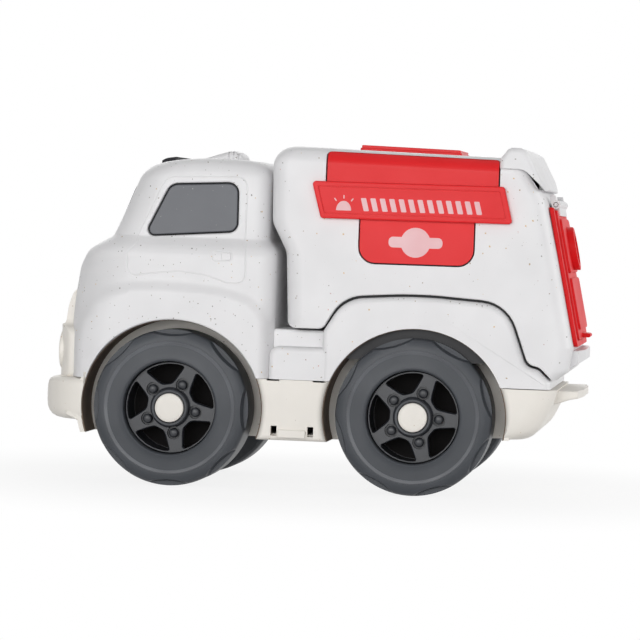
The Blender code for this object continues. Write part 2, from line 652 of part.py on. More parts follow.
def chassis(shop, cream):
    """Cream tray with four wheel wells, axle saddles, skirts with clip windows, and the rear bumper bar."""
    tray = shop.solid(
        "chassis", plate("chassis", rounded(tray_corners()), -CHASSIS_HALF_WIDTH, CHASSIS_HALF_WIDTH), cream
    )
    hollow_corners = offset_corners(tray_corners(), -CHASSIS_WALL)
    hollow_corners = [(x, SPLIT_Z + 0.01 if z > 0.036 else z, r) for x, z, r in hollow_corners]
    inner = CHASSIS_HALF_WIDTH - CHASSIS_WALL
    shop.cut(tray, shop.solid("tray hollow", plate("tray hollow", rounded(hollow_corners), -inner, inner)))

    bar = rounded([
        (-0.0872, 0.0262, 0.002), (TAIL_X + 0.0057, 0.0350, 0.006), (TAIL_X, 0.0358, 0.0010),
        (TAIL_X, 0.0390, 0.0008), (-0.0850, 0.0388, 0), (-0.0850, 0.0262, 0),
    ])
    bar_reach = BODY_HALF_WIDTH - 0.0140
    shop.add(tray, shop.solid("bumper bar", plate("bumper bar", bar, -bar_reach, bar_reach)))

    for end, axle_x in (("front", FRONT_AXLE_X), ("rear", REAR_AXLE_X)):
        outer = [(axle_x + u, v) for u, v in well_outline(ARCH_RADIUS + ARCH_WALL, CHASSIS_BOTTOM_Z)]
        wells = merged(f"{end} wells", [
            plate("well", outer, *sorted((side * (WHEEL_WELL_Y - ARCH_WALL), side * (inner + GAP))))
            for _, side in SIDES
        ])
        saddle_y = WHEEL_WELL_Y - ARCH_WALL / 2
        saddle = block(
            "saddle", (axle_x - SADDLE_REACH, -saddle_y, CHASSIS_BOTTOM_Z + 0.0005),
            (axle_x + SADDLE_REACH, saddle_y, AXLE_Z - GAP / 2)
        )
        shop.add(tray, shop.solid(f"{end} wells", wells), shop.solid(f"{end} saddle", saddle))
        bores = [
            rod("wheel space", ARCH_RADIUS, (axle_x, side * WHEEL_WELL_Y, AXLE_Z),
                (axle_x, side * BEYOND_Y, AXLE_Z), ARCH_STEPS)
            for _, side in SIDES
        ]
        axle_way = rod(
            "axle way", AXLE_RADIUS + RUNNING_GAP, (axle_x, -WHEEL_WELL_Y - 0.004, AXLE_Z),
            (axle_x, WHEEL_WELL_Y + 0.004, AXLE_Z), steps=20
        )
        cores = [
            block("core", (axle_x - POCKET_REACH, low, CHASSIS_BOTTOM_Z - 0.001),
                  (axle_x + POCKET_REACH, high, AXLE_Z - TRIM - 0.0005))
            for low, high in POCKET_SPANS
        ]
        shop.cut(
            tray, shop.solid(f"{end} wheel spaces", merged("wheel spaces", bores)),
            shop.solid(f"{end} axle way", axle_way),
            shop.solid(f"{end} saddle cores", merged("cores", cores)),
        )

    seat_z = SPLIT_Z - 1.5 * GAP
    side_wall = BODY_HALF_WIDTH - BODY_WALL - GAP
    seat_runs = (("body seat", -0.1, side_wall), ("corner seat", CAB_FRONT_X - 0.0180, side_wall - 0.003))
    for name, rear_x, seat_y in seat_runs:
        seats = []
        for _, side in SIDES:
            low, high = sorted((side * seat_y, side * BEYOND_Y))
            seats.append(block("seat", (rear_x, low, seat_z), (0.1, high, 0.08)))
        shop.cut(tray, shop.solid(name, merged(name, seats)))

    tabs, holes = [], []
    for _, side in SIDES:
        low, high = sorted((side * (inner + 0.0005), side * (CHASSIS_HALF_WIDTH + 0.0008)))
        tabs.append(block("tab", (TAB_REAR_X, low, 0.0188), (TAB_FRONT_X, high, 0.0215)))
        low, high = sorted((side * (inner - 0.002), side * (CHASSIS_HALF_WIDTH + 0.002)))
        for x in (TAB_FRONT_X + GAP, TAB_REAR_X - GAP - CLIP_WINDOW):
            holes.append(block("window", (x, low, 0.0202), (x + CLIP_WINDOW, high, 0.0202 + CLIP_WINDOW)))
    shop.add(tray, shop.solid("skirt tabs", merged("skirt tabs", tabs)))
    shop.cut(tray, shop.solid("clip windows", merged("clip windows", holes)))

    holes, sinks = [], []
    foot = CHASSIS_BOTTOM_Z
    for x, y, _ in post_places():
        holes.append(rod("hole", SCREW_RADIUS + GAP, (x, y, foot - 0.002), (x, y, foot + 0.004), steps=8))
        sinks.append(rod("sink", SCREW_HEAD_RADIUS + GAP, (x, y, foot - 0.003), (x, y, foot + 0.0012),
                         steps=10))
    shop.cut(tray, shop.solid("screw holes", merged("screw holes", holes)))
    shop.cut(tray, shop.solid("head sinks", merged("head sinks", sinks)))
    return tray


def base_screws(shop, steel):
    """Pan-head screws from below, through the pan into the posts of the cab moulding."""
    for number, (x, y, _) in enumerate(post_places(), start=1):
        foot = CHASSIS_BOTTOM_Z - 0.0002
        head_top = foot + 0.0014 - GAP
        shop.solid(f"base_screw_{number}", screw_mesh(x, y, foot, head_top, head_top + 0.0085), steel)


def screw_mesh(x, y, foot, head_top, tip):
    """One screw as a turned profile, standing upright."""
    mesh = turned("screw", [
        (0.0, tip), (SCREW_RADIUS, tip - 0.0018), (SCREW_RADIUS, head_top), (SCREW_HEAD_RADIUS, head_top),
        (SCREW_HEAD_RADIUS, foot + 0.0004), (SCREW_HEAD_RADIUS * 0.7, foot), (0.0, foot),
    ], steps=10)
    mesh.transform(Matrix.Translation((x, y, 0.0)) @ Matrix.Rotation(math.radians(90.0), 4, "X"))
    return mesh


def axle_clamp(shop, end, axle_x, white):
    """White bridge that holds an axle down in its saddle."""
    low, high = AXLE_Z + GAP, AXLE_Z + 0.0058
    reach = SADDLE_HALF_WIDTH - 0.0005
    bridge = block("clamp", (axle_x - SADDLE_REACH, -reach, low), (axle_x + SADDLE_REACH, reach, high))
    clamp = shop.solid(f"{end}_axle_clamp", bridge, white)
    way = rod("way", AXLE_RADIUS + RUNNING_GAP, (axle_x, -WHEEL_WELL_Y, AXLE_Z),
              (axle_x, WHEEL_WELL_Y, AXLE_Z), steps=20)
    pocket_z = AXLE_Z + 0.0036
    pockets = [
        block("pocket", (axle_x - POCKET_REACH, y0, pocket_z), (axle_x + POCKET_REACH, y1, high + 0.001))
        for y0, y1 in POCKET_SPANS
    ]
    shop.cut(clamp, shop.solid(f"{end} clamp way", way),
             shop.solid(f"{end} clamp pockets", merged("pockets", pockets)))
    return clamp


def tyre_mesh(shop):
    """Solid tyre with scoops round its outer shoulder, centred on its hub, facing +Y."""
    face = WHEEL_FACE_Y - wheel_centre_y()
    back = face - TYRE_WIDTH
    profile = [
        (TYRE_BORE_RADIUS, face), (TYRE_SHOULDER_RADIUS, face), (TYRE_RADIUS - 0.0016, face - 0.0012),
        (TYRE_RADIUS, face - 0.0040), (TYRE_RADIUS, back + 0.0012), (TYRE_RADIUS - 0.0008, back),
        (TYRE_BORE_RADIUS, back),
    ]
    tyre = shop.solid("tyre", turned("tyre", profile, steps=TYRE_STEPS))
    scoops = []
    for index in range(SCALLOPS):
        angle = 2 * math.pi * index / SCALLOPS
        reach = TYRE_RADIUS + 0.0210 - SCALLOP_DEPTH
        work = bmesh.new()
        bmesh.ops.create_cone(
            work, cap_ends=True, segments=24, radius1=0.0210, radius2=0.0196, depth=0.0060
        )
        mesh = bpy.data.meshes.new("scoop")
        work.to_mesh(mesh)
        work.free()
        mesh.transform(
            Matrix.Rotation(angle, 4, "Y") @ Matrix.Translation((reach, face - 0.0008, 0.0))
            @ Matrix.Rotation(math.radians(90.0), 4, "X")
        )
        scoops.append(mesh)
    shop.cut(tyre, *[shop.solid(f"scoop {index}", mesh) for index, mesh in enumerate(scoops)])
    return tidy(shop.bake(shop.fewer_faces(tyre)), 40.0)


def spoke_window(start_angle):
    """Outline of the opening between two spokes, counter-clockwise, as (x, z) points."""
    outer = TYRE_BORE_RADIUS - GAP - RIM_WALL - 0.0005
    half = math.pi / SPOKES
    edge = math.asin(SPOKE_WIDTH / 2 / outer)
    inner = HUB_RADIUS + 0.0016
    polar = [(outer, (half - edge) * share, 0.0) for share in (-1.0, -0.4, 0.4, 1.0)]
    polar += [(inner * 1.20, math.radians(20.0), 0.0035), (inner * 1.20, -math.radians(20.0), 0.0035)]
    corners = [
        (radius * math.cos(angle + start_angle), radius * math.sin(angle + start_angle), fillet)
        for radius, angle, fillet in polar
    ]
    return rounded(corners, steps=2)


def rim_mesh(shop):
    """Rim sleeve with a recessed five-spoke disc, five bolt heads and a long hub, facing +Y."""
    face = WHEEL_FACE_Y - wheel_centre_y()
    outer = TYRE_BORE_RADIUS - GAP
    front = face - SPOKE_RECESS
    back = front - SPOKE_THICKNESS
    hub_back = WHEEL_WELL_Y + GAP - wheel_centre_y()
    profile = [
        (HUB_CAP_RADIUS + GAP, face - 0.0012), (HUB_RADIUS, face - 0.0012), (HUB_RADIUS + 0.0003, front),
        (outer - RIM_WALL, front), (outer - RIM_WALL, face - 0.0006), (outer, face - 0.0006),
        (outer, face - TYRE_WIDTH + 0.001), (outer - RIM_WALL, face - TYRE_WIDTH + 0.001),
        (outer - RIM_WALL, back), (0.0048, back), (0.0044, hub_back), (AXLE_RADIUS + GAP, hub_back),
        (AXLE_RADIUS + GAP, front - 0.0006), (HUB_CAP_RADIUS + GAP, front - 0.0006),
    ]
    rim = shop.solid("rim", turned("rim", profile, steps=RIM_STEPS))
    windows = []
    for index in range(SPOKES):
        angle = 2 * math.pi * (index + 0.5) / SPOKES
        windows.append(plate("window", spoke_window(angle), back - 0.002, front + 0.0022))
    bolts = []
    for index in range(SPOKES):
        angle = 2 * math.pi * index / SPOKES
        x, z = BOLT_CIRCLE_RADIUS * math.cos(angle), BOLT_CIRCLE_RADIUS * math.sin(angle)
        bolts.append(rod("bolt", BOLT_RADIUS, (x, front - 0.001, z), (x, front + 0.0012, z), steps=6,
                         end_radius=BOLT_RADIUS * 0.75))
    shop.cut(rim, shop.solid("spoke windows", merged("spoke windows", windows)))
    shop.add(rim, shop.solid("bolt heads", merged("bolt heads", bolts)))
    return tidy(shop.bake(shop.fewer_faces(rim)))


def hub_cap_mesh():
    """Slightly domed cap that closes the hub, facing +Y."""
    face = WHEEL_FACE_Y - wheel_centre_y() - SPOKE_RECESS - 0.0006 + GAP
    top = face + HUB_CAP_THICKNESS + 0.0012
    return turned("hub cap", [
        (0.0, top), (HUB_CAP_RADIUS - 0.0006, top - 0.0004), (HUB_CAP_RADIUS, top - 0.0012),
        (HUB_CAP_RADIUS, face), (0.0, face),
    ], steps=16)


def wheel_centre_y():
    return WHEEL_FACE_Y - TYRE_WIDTH / 2


def running_gear(shop, tyre_grey, rim_grey, cream, steel):
    """Two axles on their turning centres, with four alike wheels pressed on their ends."""
    tyre, rim, cap = tyre_mesh(shop), rim_mesh(shop), hub_cap_mesh()
    for end, axle_x, tyre_turn, rim_turn in (
        ("front", FRONT_AXLE_X, FRONT_TYRE_TURN, FRONT_RIM_TURN),
        ("rear", REAR_AXLE_X, REAR_TYRE_TURN, REAR_RIM_TURN),
    ):
        pivot = bpy.data.objects.new(f"{end}_axle_pivot", None)
        pivot.location = (axle_x, 0.0, AXLE_Z)
        shop.parts.objects.link(pivot)
        reach = WHEEL_FACE_Y - SPOKE_RECESS - 0.0006
        shaft = rod("axle", AXLE_RADIUS, (0, -reach, 0), (0, reach, 0), steps=20)
        axle = shop.solid(f"{end}_axle", shaft, steel)
        axle.parent = pivot
        for side_name, side in SIDES:
            for kind, mesh, material, turn in (
                ("tyre", tyre, tyre_grey, tyre_turn), ("rim", rim, rim_grey, rim_turn),
                ("hub_cap", cap, cream, 0.0),
            ):
                piece = shop.solid(f"{kind}_{end}_{side_name}", mesh, material)
                piece.parent = pivot
                piece.location = (0.0, side * wheel_centre_y(), 0.0)
                facing = Matrix.Rotation(0.0 if side > 0 else math.pi, 4, "Z")
                spin = Matrix.Rotation(math.radians((180.0 if side > 0 else 0.0) - turn), 4, "Y")
                piece.rotation_euler = (spin @ facing).to_euler()


# Box body

def box_rear_x(height):
    """The rear face leans forward as it rises."""
    return BOX_REAR_FOOT_X + BOX_REAR_LEAN * (height - 0.056)


def roof_fall(x):
    """How far the box roof has dropped where it runs down towards the rear."""
    return ROOF_FALL * min(0.0, x - BOX_FRONT_X + BOX_CORNER_RADIUS)


def box_solid(name, inset=0.0, rear_inset=None, lift=0.0, foot_z=BOX_FOOT_Z, fine=True):
    """The box's outer form, or the same form drawn inwards by inset and raised by lift."""
    rear_inset = inset if rear_inset is None else rear_inset
    top = BOX_ROOF_Z
    front = rounded([
        (BOX_FRONT_X - 0.0078, BOX_FOOT_Z, 0), (BOX_FRONT_X - 0.0070, 0.0640, 0.02),
        (BOX_FRONT_X - 0.0060, BOX_LEAN_Z, 0.008), (BOX_FRONT_X - 0.0006, BOX_LEAN_Z + 0.0105, 0.008),
        (BOX_FRONT_X, top, 0.007), (0.0, top, 0),
    ], closed=False)
    shoulder_z = top - 0.0149
    rear = rounded([
        (BOX_REAR_FOOT_X + 0.0048, BOX_FOOT_Z, 0), (BOX_REAR_FOOT_X + 0.0008, 0.0462, 0.003),
        (box_rear_x(0.0545), 0.0545, 0.003), (box_rear_x(shoulder_z), shoulder_z, 0.010),
        (BOX_REAR_FOOT_X + 0.0198, top, 0.010), (-0.05, top, 0),
    ], closed=False)
    side = rounded([
        (BOX_HALF_WIDTH, BOX_FOOT_Z, 0), (BOX_HALF_WIDTH, top, BOX_EDGE_RADIUS), (0.0, top, 0)
    ], closed=False)
    heights = [BOX_FOOT_Z, 0.0462, 0.0545, 0.0640]
    heights += [top - drop for drop in (0.0429, 0.0349, 0.0299, 0.0249, 0.0169, 0.0099)]
    heights += [top - BOX_EDGE_RADIUS * (1 - math.sin(math.radians(angle))) for angle in (0, 24, 46, 68, 90)]
    if not fine:
        heights = heights[:-1:2] + heights[-1:]
    rings = []
    for height in heights:
        share = max(0.0, (height - BOX_LEAN_Z) / (top - BOX_LEAN_Z))
        points = ring(
            at_height(rear, height) + rear_inset, at_height(front, height) - inset,
            at_height(side, height) - inset, max(BOX_CORNER_RADIUS - 0.001 - inset, 0.001),
            max(BOX_CORNER_RADIUS - inset, 0.001), height, arc_steps=4 if fine else 2,
        )
        rings.append([
            (x, y, z - (inset - lift) * share + share * roof_fall(x)) for x, y, z in points
        ])
    if foot_z < BOX_FOOT_Z:
        rings.insert(0, [(x, y, foot_z) for x, y, _ in rings[0]])
    return loft(name, rings)


def box_notch_corners():
    """What the box leaves free below: the shelf behind the cab, the rear hump and the tail."""
    hump = [corner for corner in hump_corners() if corner[1] > DECK_Z or corner[0] < -0.05]
    leg_z = DECK_Z + 2 * GAP
    below_z = BOX_FOOT_Z - 0.013
    return [
        (0.0300, below_z, 0), (0.0300, 0.0640, 0), (0.0120, 0.0640, 0), (0.0060, leg_z, 0.0015),
        (-0.0048, leg_z, 0.0015),
    ] + hump[:-1] + [(-0.0895, below_z, 0)]


def panel_corners(grow=0.0):
    """T-shaped outline of the red side panel, counter-clockwise."""
    top, step, foot = BOX_ROOF_Z + 0.0071, BOX_ROOF_Z - 0.0199, BOX_ROOF_Z - 0.0406
    tab_front, tab_rear = PANEL_FRONT_X - 0.0124, PANEL_REAR_X + 0.0081
    return offset_corners([
        (PANEL_FRONT_X, top, 0), (PANEL_REAR_X, top, 0), (PANEL_REAR_X, step, 0), (tab_rear, step, 0),
        (tab_rear, foot, 0.005), (tab_front, foot, 0.005), (tab_front, step, 0), (PANEL_FRONT_X, step, 0),
    ], grow)


def panel_block(shop, name, side, grow=0.0, material=None):
    low, high = sorted((side * (BOX_HALF_WIDTH - 0.0105 - grow), side * BEYOND_Y))
    return shop.solid(name, plate(name, rounded(panel_corners(grow)), low, high), material)


def door_frame_corners(border, top_z):
    """Rear view outline (y, height along the leaning face) round the door."""
    half = DOOR_HALF_WIDTH + border
    return [
        (-half, DOOR_FOOT_Z - border * 0.4, DOOR_CORNER), (half, DOOR_FOOT_Z - border * 0.4, DOOR_CORNER),
        (half, top_z, 0.004), (-half, top_z, 0.004),
    ]


def leaning_plate(name, outline, low, high):
    """A plate on the rear face: its outline is (y, z), and it lies from low to high outwards of the face."""
    mesh = plate(name, outline, low, high, axis="x")
    work = bmesh.new()
    work.from_mesh(mesh)
    for vert in work.verts:
        vert.co.x = box_rear_x(vert.co.z) - vert.co.x
    bmesh.ops.reverse_faces(work, faces=work.faces)
    work.to_mesh(mesh)
    work.free()
    return mesh


def cargo_box(shop, white):
    """White hollow box with wrapped side recesses, a rear doorway, hinge niche and tail ledge."""
    box = shop.solid("cargo_box", box_solid("cargo_box"), white)
    root_x = BOX_REAR_FOOT_X + 0.0033
    ledge = rounded([
        (root_x, 0.0540, 0), (TAIL_X, 0.0540, TAIL_CORNER), (TAIL_X, 0.0512, TAIL_CORNER),
        (TAIL_X + 0.0032, 0.0492, 0.003), (TAIL_X + 0.0057, 0.0470, 0), (root_x, 0.0470, 0),
    ])
    ledge_reach = BOX_HALF_WIDTH - 0.0120
    shop.add(box, shop.solid("tail ledge", plate("tail ledge", ledge, -ledge_reach, ledge_reach)))
    hollow_form = box_solid("box hollow", inset=BOX_WALL, foot_z=BOX_FOOT_Z - 0.013, fine=False)
    hollow = shop.solid("box hollow", hollow_form)
    notch = shop.solid("box notch", plate("box notch", rounded(box_notch_corners()), -BEYOND_Y, BEYOND_Y))
    shop.cut(box, hollow, notch)
    for side_name, side in SIDES:
        recess = panel_block(shop, f"{side_name} recess", side, grow=GAP)
        core = box_solid("recess core", inset=PANEL_THICKNESS + GAP)
        shop.join(recess, shop.solid(f"{side_name} recess core", core), "DIFFERENCE", solver="MANIFOLD")
        shop.cut(box, recess)
    doorway_reach = DOOR_HALF_WIDTH - 0.0030
    sill_z, head_z = DOOR_FOOT_Z + 0.0045, HINGE_Z - 0.0052
    doorway = rounded([
        (-doorway_reach, sill_z, DOOR_CORNER), (doorway_reach, sill_z, DOOR_CORNER),
        (doorway_reach, head_z, DOOR_CORNER), (-doorway_reach, head_z, DOOR_CORNER),
    ])
    shop.cut(box, shop.solid("doorway", plate("doorway", doorway, -0.11, -0.07, axis="x")))
    return box


def side_panel(shop, side_name, side, red):
    """Red T-shaped panel that lies in the box's recess and follows it over the roof edge."""
    panel = panel_block(shop, f"side_panel_{side_name}", side, material=red)
    skin = shop.solid(f"{side_name} panel skin", box_solid("skin", inset=0.0001))
    core = shop.solid(f"{side_name} panel core", box_solid("core", inset=PANEL_THICKNESS))
    shop.keep(panel, skin)
    return shop.cut(panel, core)


def sign_board(shop, side_name, side, red):
    """Red slanted board with a raised border, seated on the side panel."""
    foot_z, head_z, corner = BOX_ROOF_Z - 0.0254, BOX_ROOF_Z - 0.0122, 0.001
    corners = [
        (PANEL_REAR_X - 0.0056, foot_z, corner), (PANEL_FRONT_X + 0.0016, foot_z, corner),
        (PANEL_FRONT_X + 0.0052, head_z, corner), (PANEL_REAR_X - 0.0023, head_z, corner),
    ]
    seat = BOX_HALF_WIDTH + GAP
    low, high = sorted((side * seat, side * (seat + SIGN_THICKNESS)))
    board = shop.solid(
        f"sign_board_{side_name}", plate("sign_board", rounded(corners), low, high, edge=0.0005), red
    )
    field = rounded(offset_corners(corners, -0.0016))
    low, high = sorted((side * (seat + SIGN_THICKNESS - 0.0005), side * BEYOND_Y))
    return shop.cut(board, shop.solid(f"{side_name} sign field", plate("sign field", field, low, high)))


def box_roof_z(x):
    return BOX_ROOF_Z + roof_fall(x)


def roof_pad(shop, red):
    """Red two-step pad on the box roof, which follows the roof's fall."""
    front_x, rear_x, half_width, corner, step = -0.0139, -0.0527, 0.0170, 0.003, 0.0016
    corners = [
        (rear_x, -half_width, corner), (front_x, -half_width, corner), (front_x, half_width, corner),
        (rear_x, half_width, corner),
    ]
    base = plate("roof_pad", rounded(corners), GAP, 0.0013, axis="z")
    crown = plate("roof_pad crown", rounded(offset_corners(corners, -step)), 0.0008, 0.0023, axis="z")
    for mesh in (base, crown):
        for vertex in mesh.vertices:
            vertex.co.z += box_roof_z(vertex.co.x)
    pad = shop.solid("roof_pad", base, red)
    return shop.add(pad, shop.solid("roof pad crown", crown))


def rear_visor(shop, white):
    """White hood over the top of the rear face, with its own lip above the door."""
    front_x, rear_x = BOX_REAR_FOOT_X + 0.0273, BOX_REAR_FOOT_X - 0.0067
    low_z, high_z = BOX_ROOF_Z - 0.0057, BOX_ROOF_Z + 0.0171
    outline = rounded([
        (front_x, low_z, 0), (front_x, high_z, 0), (rear_x, high_z, 0), (rear_x, VISOR_FOOT_Z, 0),
        (BOX_REAR_FOOT_X + 0.0133, VISOR_FOOT_Z, 0), (BOX_REAR_FOOT_X + 0.0171, low_z - 0.0007, 0.003),
        (BOX_REAR_FOOT_X + 0.0205, low_z, 0),
    ])
    visor = shop.solid(
        "rear_visor", box_solid("rear_visor", inset=-0.0012, rear_inset=-VISOR_THICKNESS, lift=0.0018), white
    )
    shop.keep(visor, shop.solid("visor zone", plate("visor zone", outline, -BEYOND_Y, BEYOND_Y)))
    return shop.cut(visor, shop.solid("visor seat", box_solid("visor seat", inset=-GAP)))


def door_frame(shop, red):
    """Red surround of the door, fixed on the rear face, with two ears for the hinge pin."""
    outline = rounded(door_frame_corners(FRAME_BORDER, top_z=VISOR_FOOT_Z - GAP))
    frame = shop.solid("door_frame", leaning_plate("door_frame", outline, GAP, FRAME_THICKNESS), red)
    opening = rounded([
        (-DOOR_HALF_WIDTH - GAP, DOOR_FOOT_Z - GAP, DOOR_CORNER),
        (DOOR_HALF_WIDTH + GAP, DOOR_FOOT_Z - GAP, DOOR_CORNER),
        (DOOR_HALF_WIDTH + GAP, HINGE_Z + 0.0024, 0.001), (-DOOR_HALF_WIDTH - GAP, HINGE_Z + 0.0024, 0.001),
    ])
    shop.cut(frame, shop.solid("frame opening", leaning_plate("frame opening", opening, -0.002, 0.008)))
    return frame


def hinge_x():
    return box_rear_x(HINGE_Z) - 0.0022


def rear_door(shop, red):
    """Red tailgate on its hinge line: panel, raised inner panel, knuckle and finger lip."""
    pivot = bpy.data.objects.new("door_hinge", None)
    pivot.location = (hinge_x(), 0.0, HINGE_Z)
    shop.parts.objects.link(pivot)
    place = Matrix.Translation((-hinge_x(), 0.0, -HINGE_Z))
    top_z = HINGE_Z - HINGE_RADIUS - 0.0004
    outline = rounded([
        (-DOOR_HALF_WIDTH, DOOR_FOOT_Z, DOOR_CORNER), (DOOR_HALF_WIDTH, DOOR_FOOT_Z, DOOR_CORNER),
        (DOOR_HALF_WIDTH, top_z, 0.001), (-DOOR_HALF_WIDTH, top_z, 0.001),
    ])
    inner_half, inner_foot = DOOR_HALF_WIDTH - 0.0035, DOOR_FOOT_Z + 0.0035
    inner = rounded([
        (-inner_half, inner_foot, DOOR_CORNER), (inner_half, inner_foot, DOOR_CORNER),
        (inner_half, top_z - 0.0030, DOOR_CORNER), (-inner_half, top_z - 0.0030, DOOR_CORNER),
    ])
    panel = leaning_plate("rear_door", outline, GAP, DOOR_THICKNESS)
    raised = leaning_plate("raised panel", inner, 0.001, DOOR_THICKNESS + DOOR_STEP)
    knuckle = rod("knuckle", HINGE_RADIUS, (hinge_x(), -KNUCKLE_REACH, HINGE_Z),
                  (hinge_x(), KNUCKLE_REACH, HINGE_Z), steps=16)
    arm_outline = [
        (-KNUCKLE_REACH, top_z - 0.002), (KNUCKLE_REACH, top_z - 0.002), (KNUCKLE_REACH, HINGE_Z),
        (-KNUCKLE_REACH, HINGE_Z),
    ]
    arm = leaning_plate("arm", arm_outline, 0.0014, 0.0030)
    lip_foot, lip_root = DOOR_FOOT_Z + 0.0004, BOX_REAR_FOOT_X - 0.0012
    lip = plate("finger lip", rounded([
        (lip_root, lip_foot, 0), (lip_root, lip_foot + 0.0018, 0), (TAIL_X, lip_foot + 0.0014, 0.0007),
        (TAIL_X, lip_foot, 0.0007),
    ]), -0.0060, 0.0060)
    bore = rod("pin bore", HINGE_PIN_RADIUS + RUNNING_GAP / 2, (hinge_x(), -DOOR_HALF_WIDTH, HINGE_Z),
               (hinge_x(), DOOR_HALF_WIDTH, HINGE_Z), steps=12)
    for mesh in (panel, raised, knuckle, arm, lip, bore):
        mesh.transform(place)
    door = shop.solid("rear_door", panel, red)
    tools = [shop.solid(mesh.name, mesh) for mesh in (raised, knuckle, arm, lip)]
    drill = shop.solid("pin bore", bore)
    for thing in (door, drill, *tools):
        thing.parent = pivot
    shop.add(door, *tools)
    shop.cut(door, drill)
    return pivot


def hinge_ears(shop, frame):
    """Ears on the frame at both ends of the door's knuckle, drilled for the pin."""
    ears = []
    for _, side in SIDES:
        low, high = side * (KNUCKLE_REACH + GAP), side * EAR_REACH
        ears.append(rod("ear", HINGE_RADIUS, (hinge_x(), low, HINGE_Z), (hinge_x(), high, HINGE_Z), steps=16))
        y0, y1 = sorted((low, high))
        arm = leaning_plate("ear arm", [(y0, HINGE_Z), (y1, HINGE_Z), (y1, HINGE_Z + 0.0032),
                                        (y0, HINGE_Z + 0.0032)], GAP + 0.0002, FRAME_THICKNESS + 0.0010)
        shop.add(frame, shop.solid("ear arm", arm))
    shop.add(frame, shop.solid("hinge ears", merged("hinge ears", ears)))
    bore = rod("ear bore", HINGE_PIN_RADIUS + RUNNING_GAP / 2, (hinge_x(), -DOOR_HALF_WIDTH, HINGE_Z),
               (hinge_x(), DOOR_HALF_WIDTH, HINGE_Z), steps=12)
    return shop.cut(frame, shop.solid("ear bore", bore))


def door_hinge_pin(shop, steel):
    reach = EAR_REACH - 0.0002
    ends = (hinge_x(), -reach, HINGE_Z), (hinge_x(), reach, HINGE_Z)
    return shop.solid("door_hinge_pin", rod("door_hinge_pin", HINGE_PIN_RADIUS, *ends, steps=12), steel)


def door_badge(shop, pivot, red):
    """Plain round badge raised on the middle of the door."""
    centre_z = HINGE_Z - 0.0156
    angles = [math.radians(10 * step) for step in range(36)]
    outline = [(BADGE_RADIUS * math.cos(a), centre_z + BADGE_RADIUS * math.sin(a)) for a in angles]
    seat = DOOR_THICKNESS + DOOR_STEP + GAP
    badge = leaning_plate("door_badge", outline, seat, seat + 0.0022)
    badge.transform(Matrix.Translation((-hinge_x(), 0.0, -HINGE_Z)))
    piece = shop.solid("door_badge", badge, red)
    piece.parent = pivot
    return piece


def build_truck():
    clear_scene()
    shop = Workshop("toy_box_truck")
    white = new_material("white body", (0.80, 0.80, 0.80), 0.38)
    cream = new_material("cream moulding", (0.78, 0.75, 0.69), 0.42)
    dark = new_material("dark glazing", (0.16, 0.17, 0.19), 0.30)
    red = new_material("red panels", (0.78, 0.06, 0.07), 0.35)
    tyre_grey = new_material("tyre grey", (0.09, 0.10, 0.115), 0.50)
    rim_grey = new_material("rim grey", (0.05, 0.055, 0.062), 0.42)
    steel = new_material("bright steel", (0.60, 0.60, 0.60), 0.30, metallic=1.0)

    cab_body(shop, white)
    cab_glazing(shop, dark)
    roof_strip(shop, dark)
    roof_fairing(shop, white)
    front_grille(shop, cream)
    front_bumper(shop, cream)
    chassis(shop, cream)
    base_screws(shop, steel)
    for end, axle_x in (("front", FRONT_AXLE_X), ("rear", REAR_AXLE_X)):
        axle_clamp(shop, end, axle_x, white)
    running_gear(shop, tyre_grey, rim_grey, cream, steel)
    cargo_box(shop, white)
    for side_name, side in SIDES:
        side_panel(shop, side_name, side, red)
        sign_board(shop, side_name, side, red)
    roof_pad(shop, red)
    rear_visor(shop, white)
    hinge_ears(shop, door_frame(shop, red))
    pivot = rear_door(shop, red)
    door_badge(shop, pivot, red)
    door_hinge_pin(shop, steel)
    for piece in shop.parts.objects:
        if piece.modifiers:
            shop.fewer_faces(piece)


build_truck()
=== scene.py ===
"""A toy box truck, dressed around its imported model. Metres; +X is forward, +Y the truck's left side, +Z up."""
import math

import bmesh
import bpy
from mathutils import Matrix, Vector


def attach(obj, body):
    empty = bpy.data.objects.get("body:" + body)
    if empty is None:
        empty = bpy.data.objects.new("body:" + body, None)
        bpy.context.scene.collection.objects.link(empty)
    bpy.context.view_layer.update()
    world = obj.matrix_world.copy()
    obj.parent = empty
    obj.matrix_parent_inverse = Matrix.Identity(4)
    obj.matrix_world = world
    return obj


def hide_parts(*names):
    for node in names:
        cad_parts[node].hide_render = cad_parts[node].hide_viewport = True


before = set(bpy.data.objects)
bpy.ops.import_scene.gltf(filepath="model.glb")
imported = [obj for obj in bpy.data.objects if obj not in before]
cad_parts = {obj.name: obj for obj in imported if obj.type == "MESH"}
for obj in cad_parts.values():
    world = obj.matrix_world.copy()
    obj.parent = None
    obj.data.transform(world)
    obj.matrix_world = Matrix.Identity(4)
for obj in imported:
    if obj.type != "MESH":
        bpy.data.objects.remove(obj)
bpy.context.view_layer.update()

# Wheels; an axle is its name, its place, and how far its tyres and its rims are turned, in degrees
TYRE_RADIUS = 0.028
WHEEL_FACE_Y = 0.048
TYRE_WIDTH = 0.0205
WHEEL_MIDDLE_Y = WHEEL_FACE_Y - TYRE_WIDTH / 2
AXLES = (("front", 0.049, 0.0, 8.5), ("rear", -0.0384, 28.0, 3.0))
BORE = 0.0166
SPOKES = 5
SCOOPS = 8
ARCH_RADIUS = 0.0314
ARCH_STRETCH = 1.045
ARCH_REACH = ARCH_RADIUS * ARCH_STRETCH
WELL_Y = 0.0256

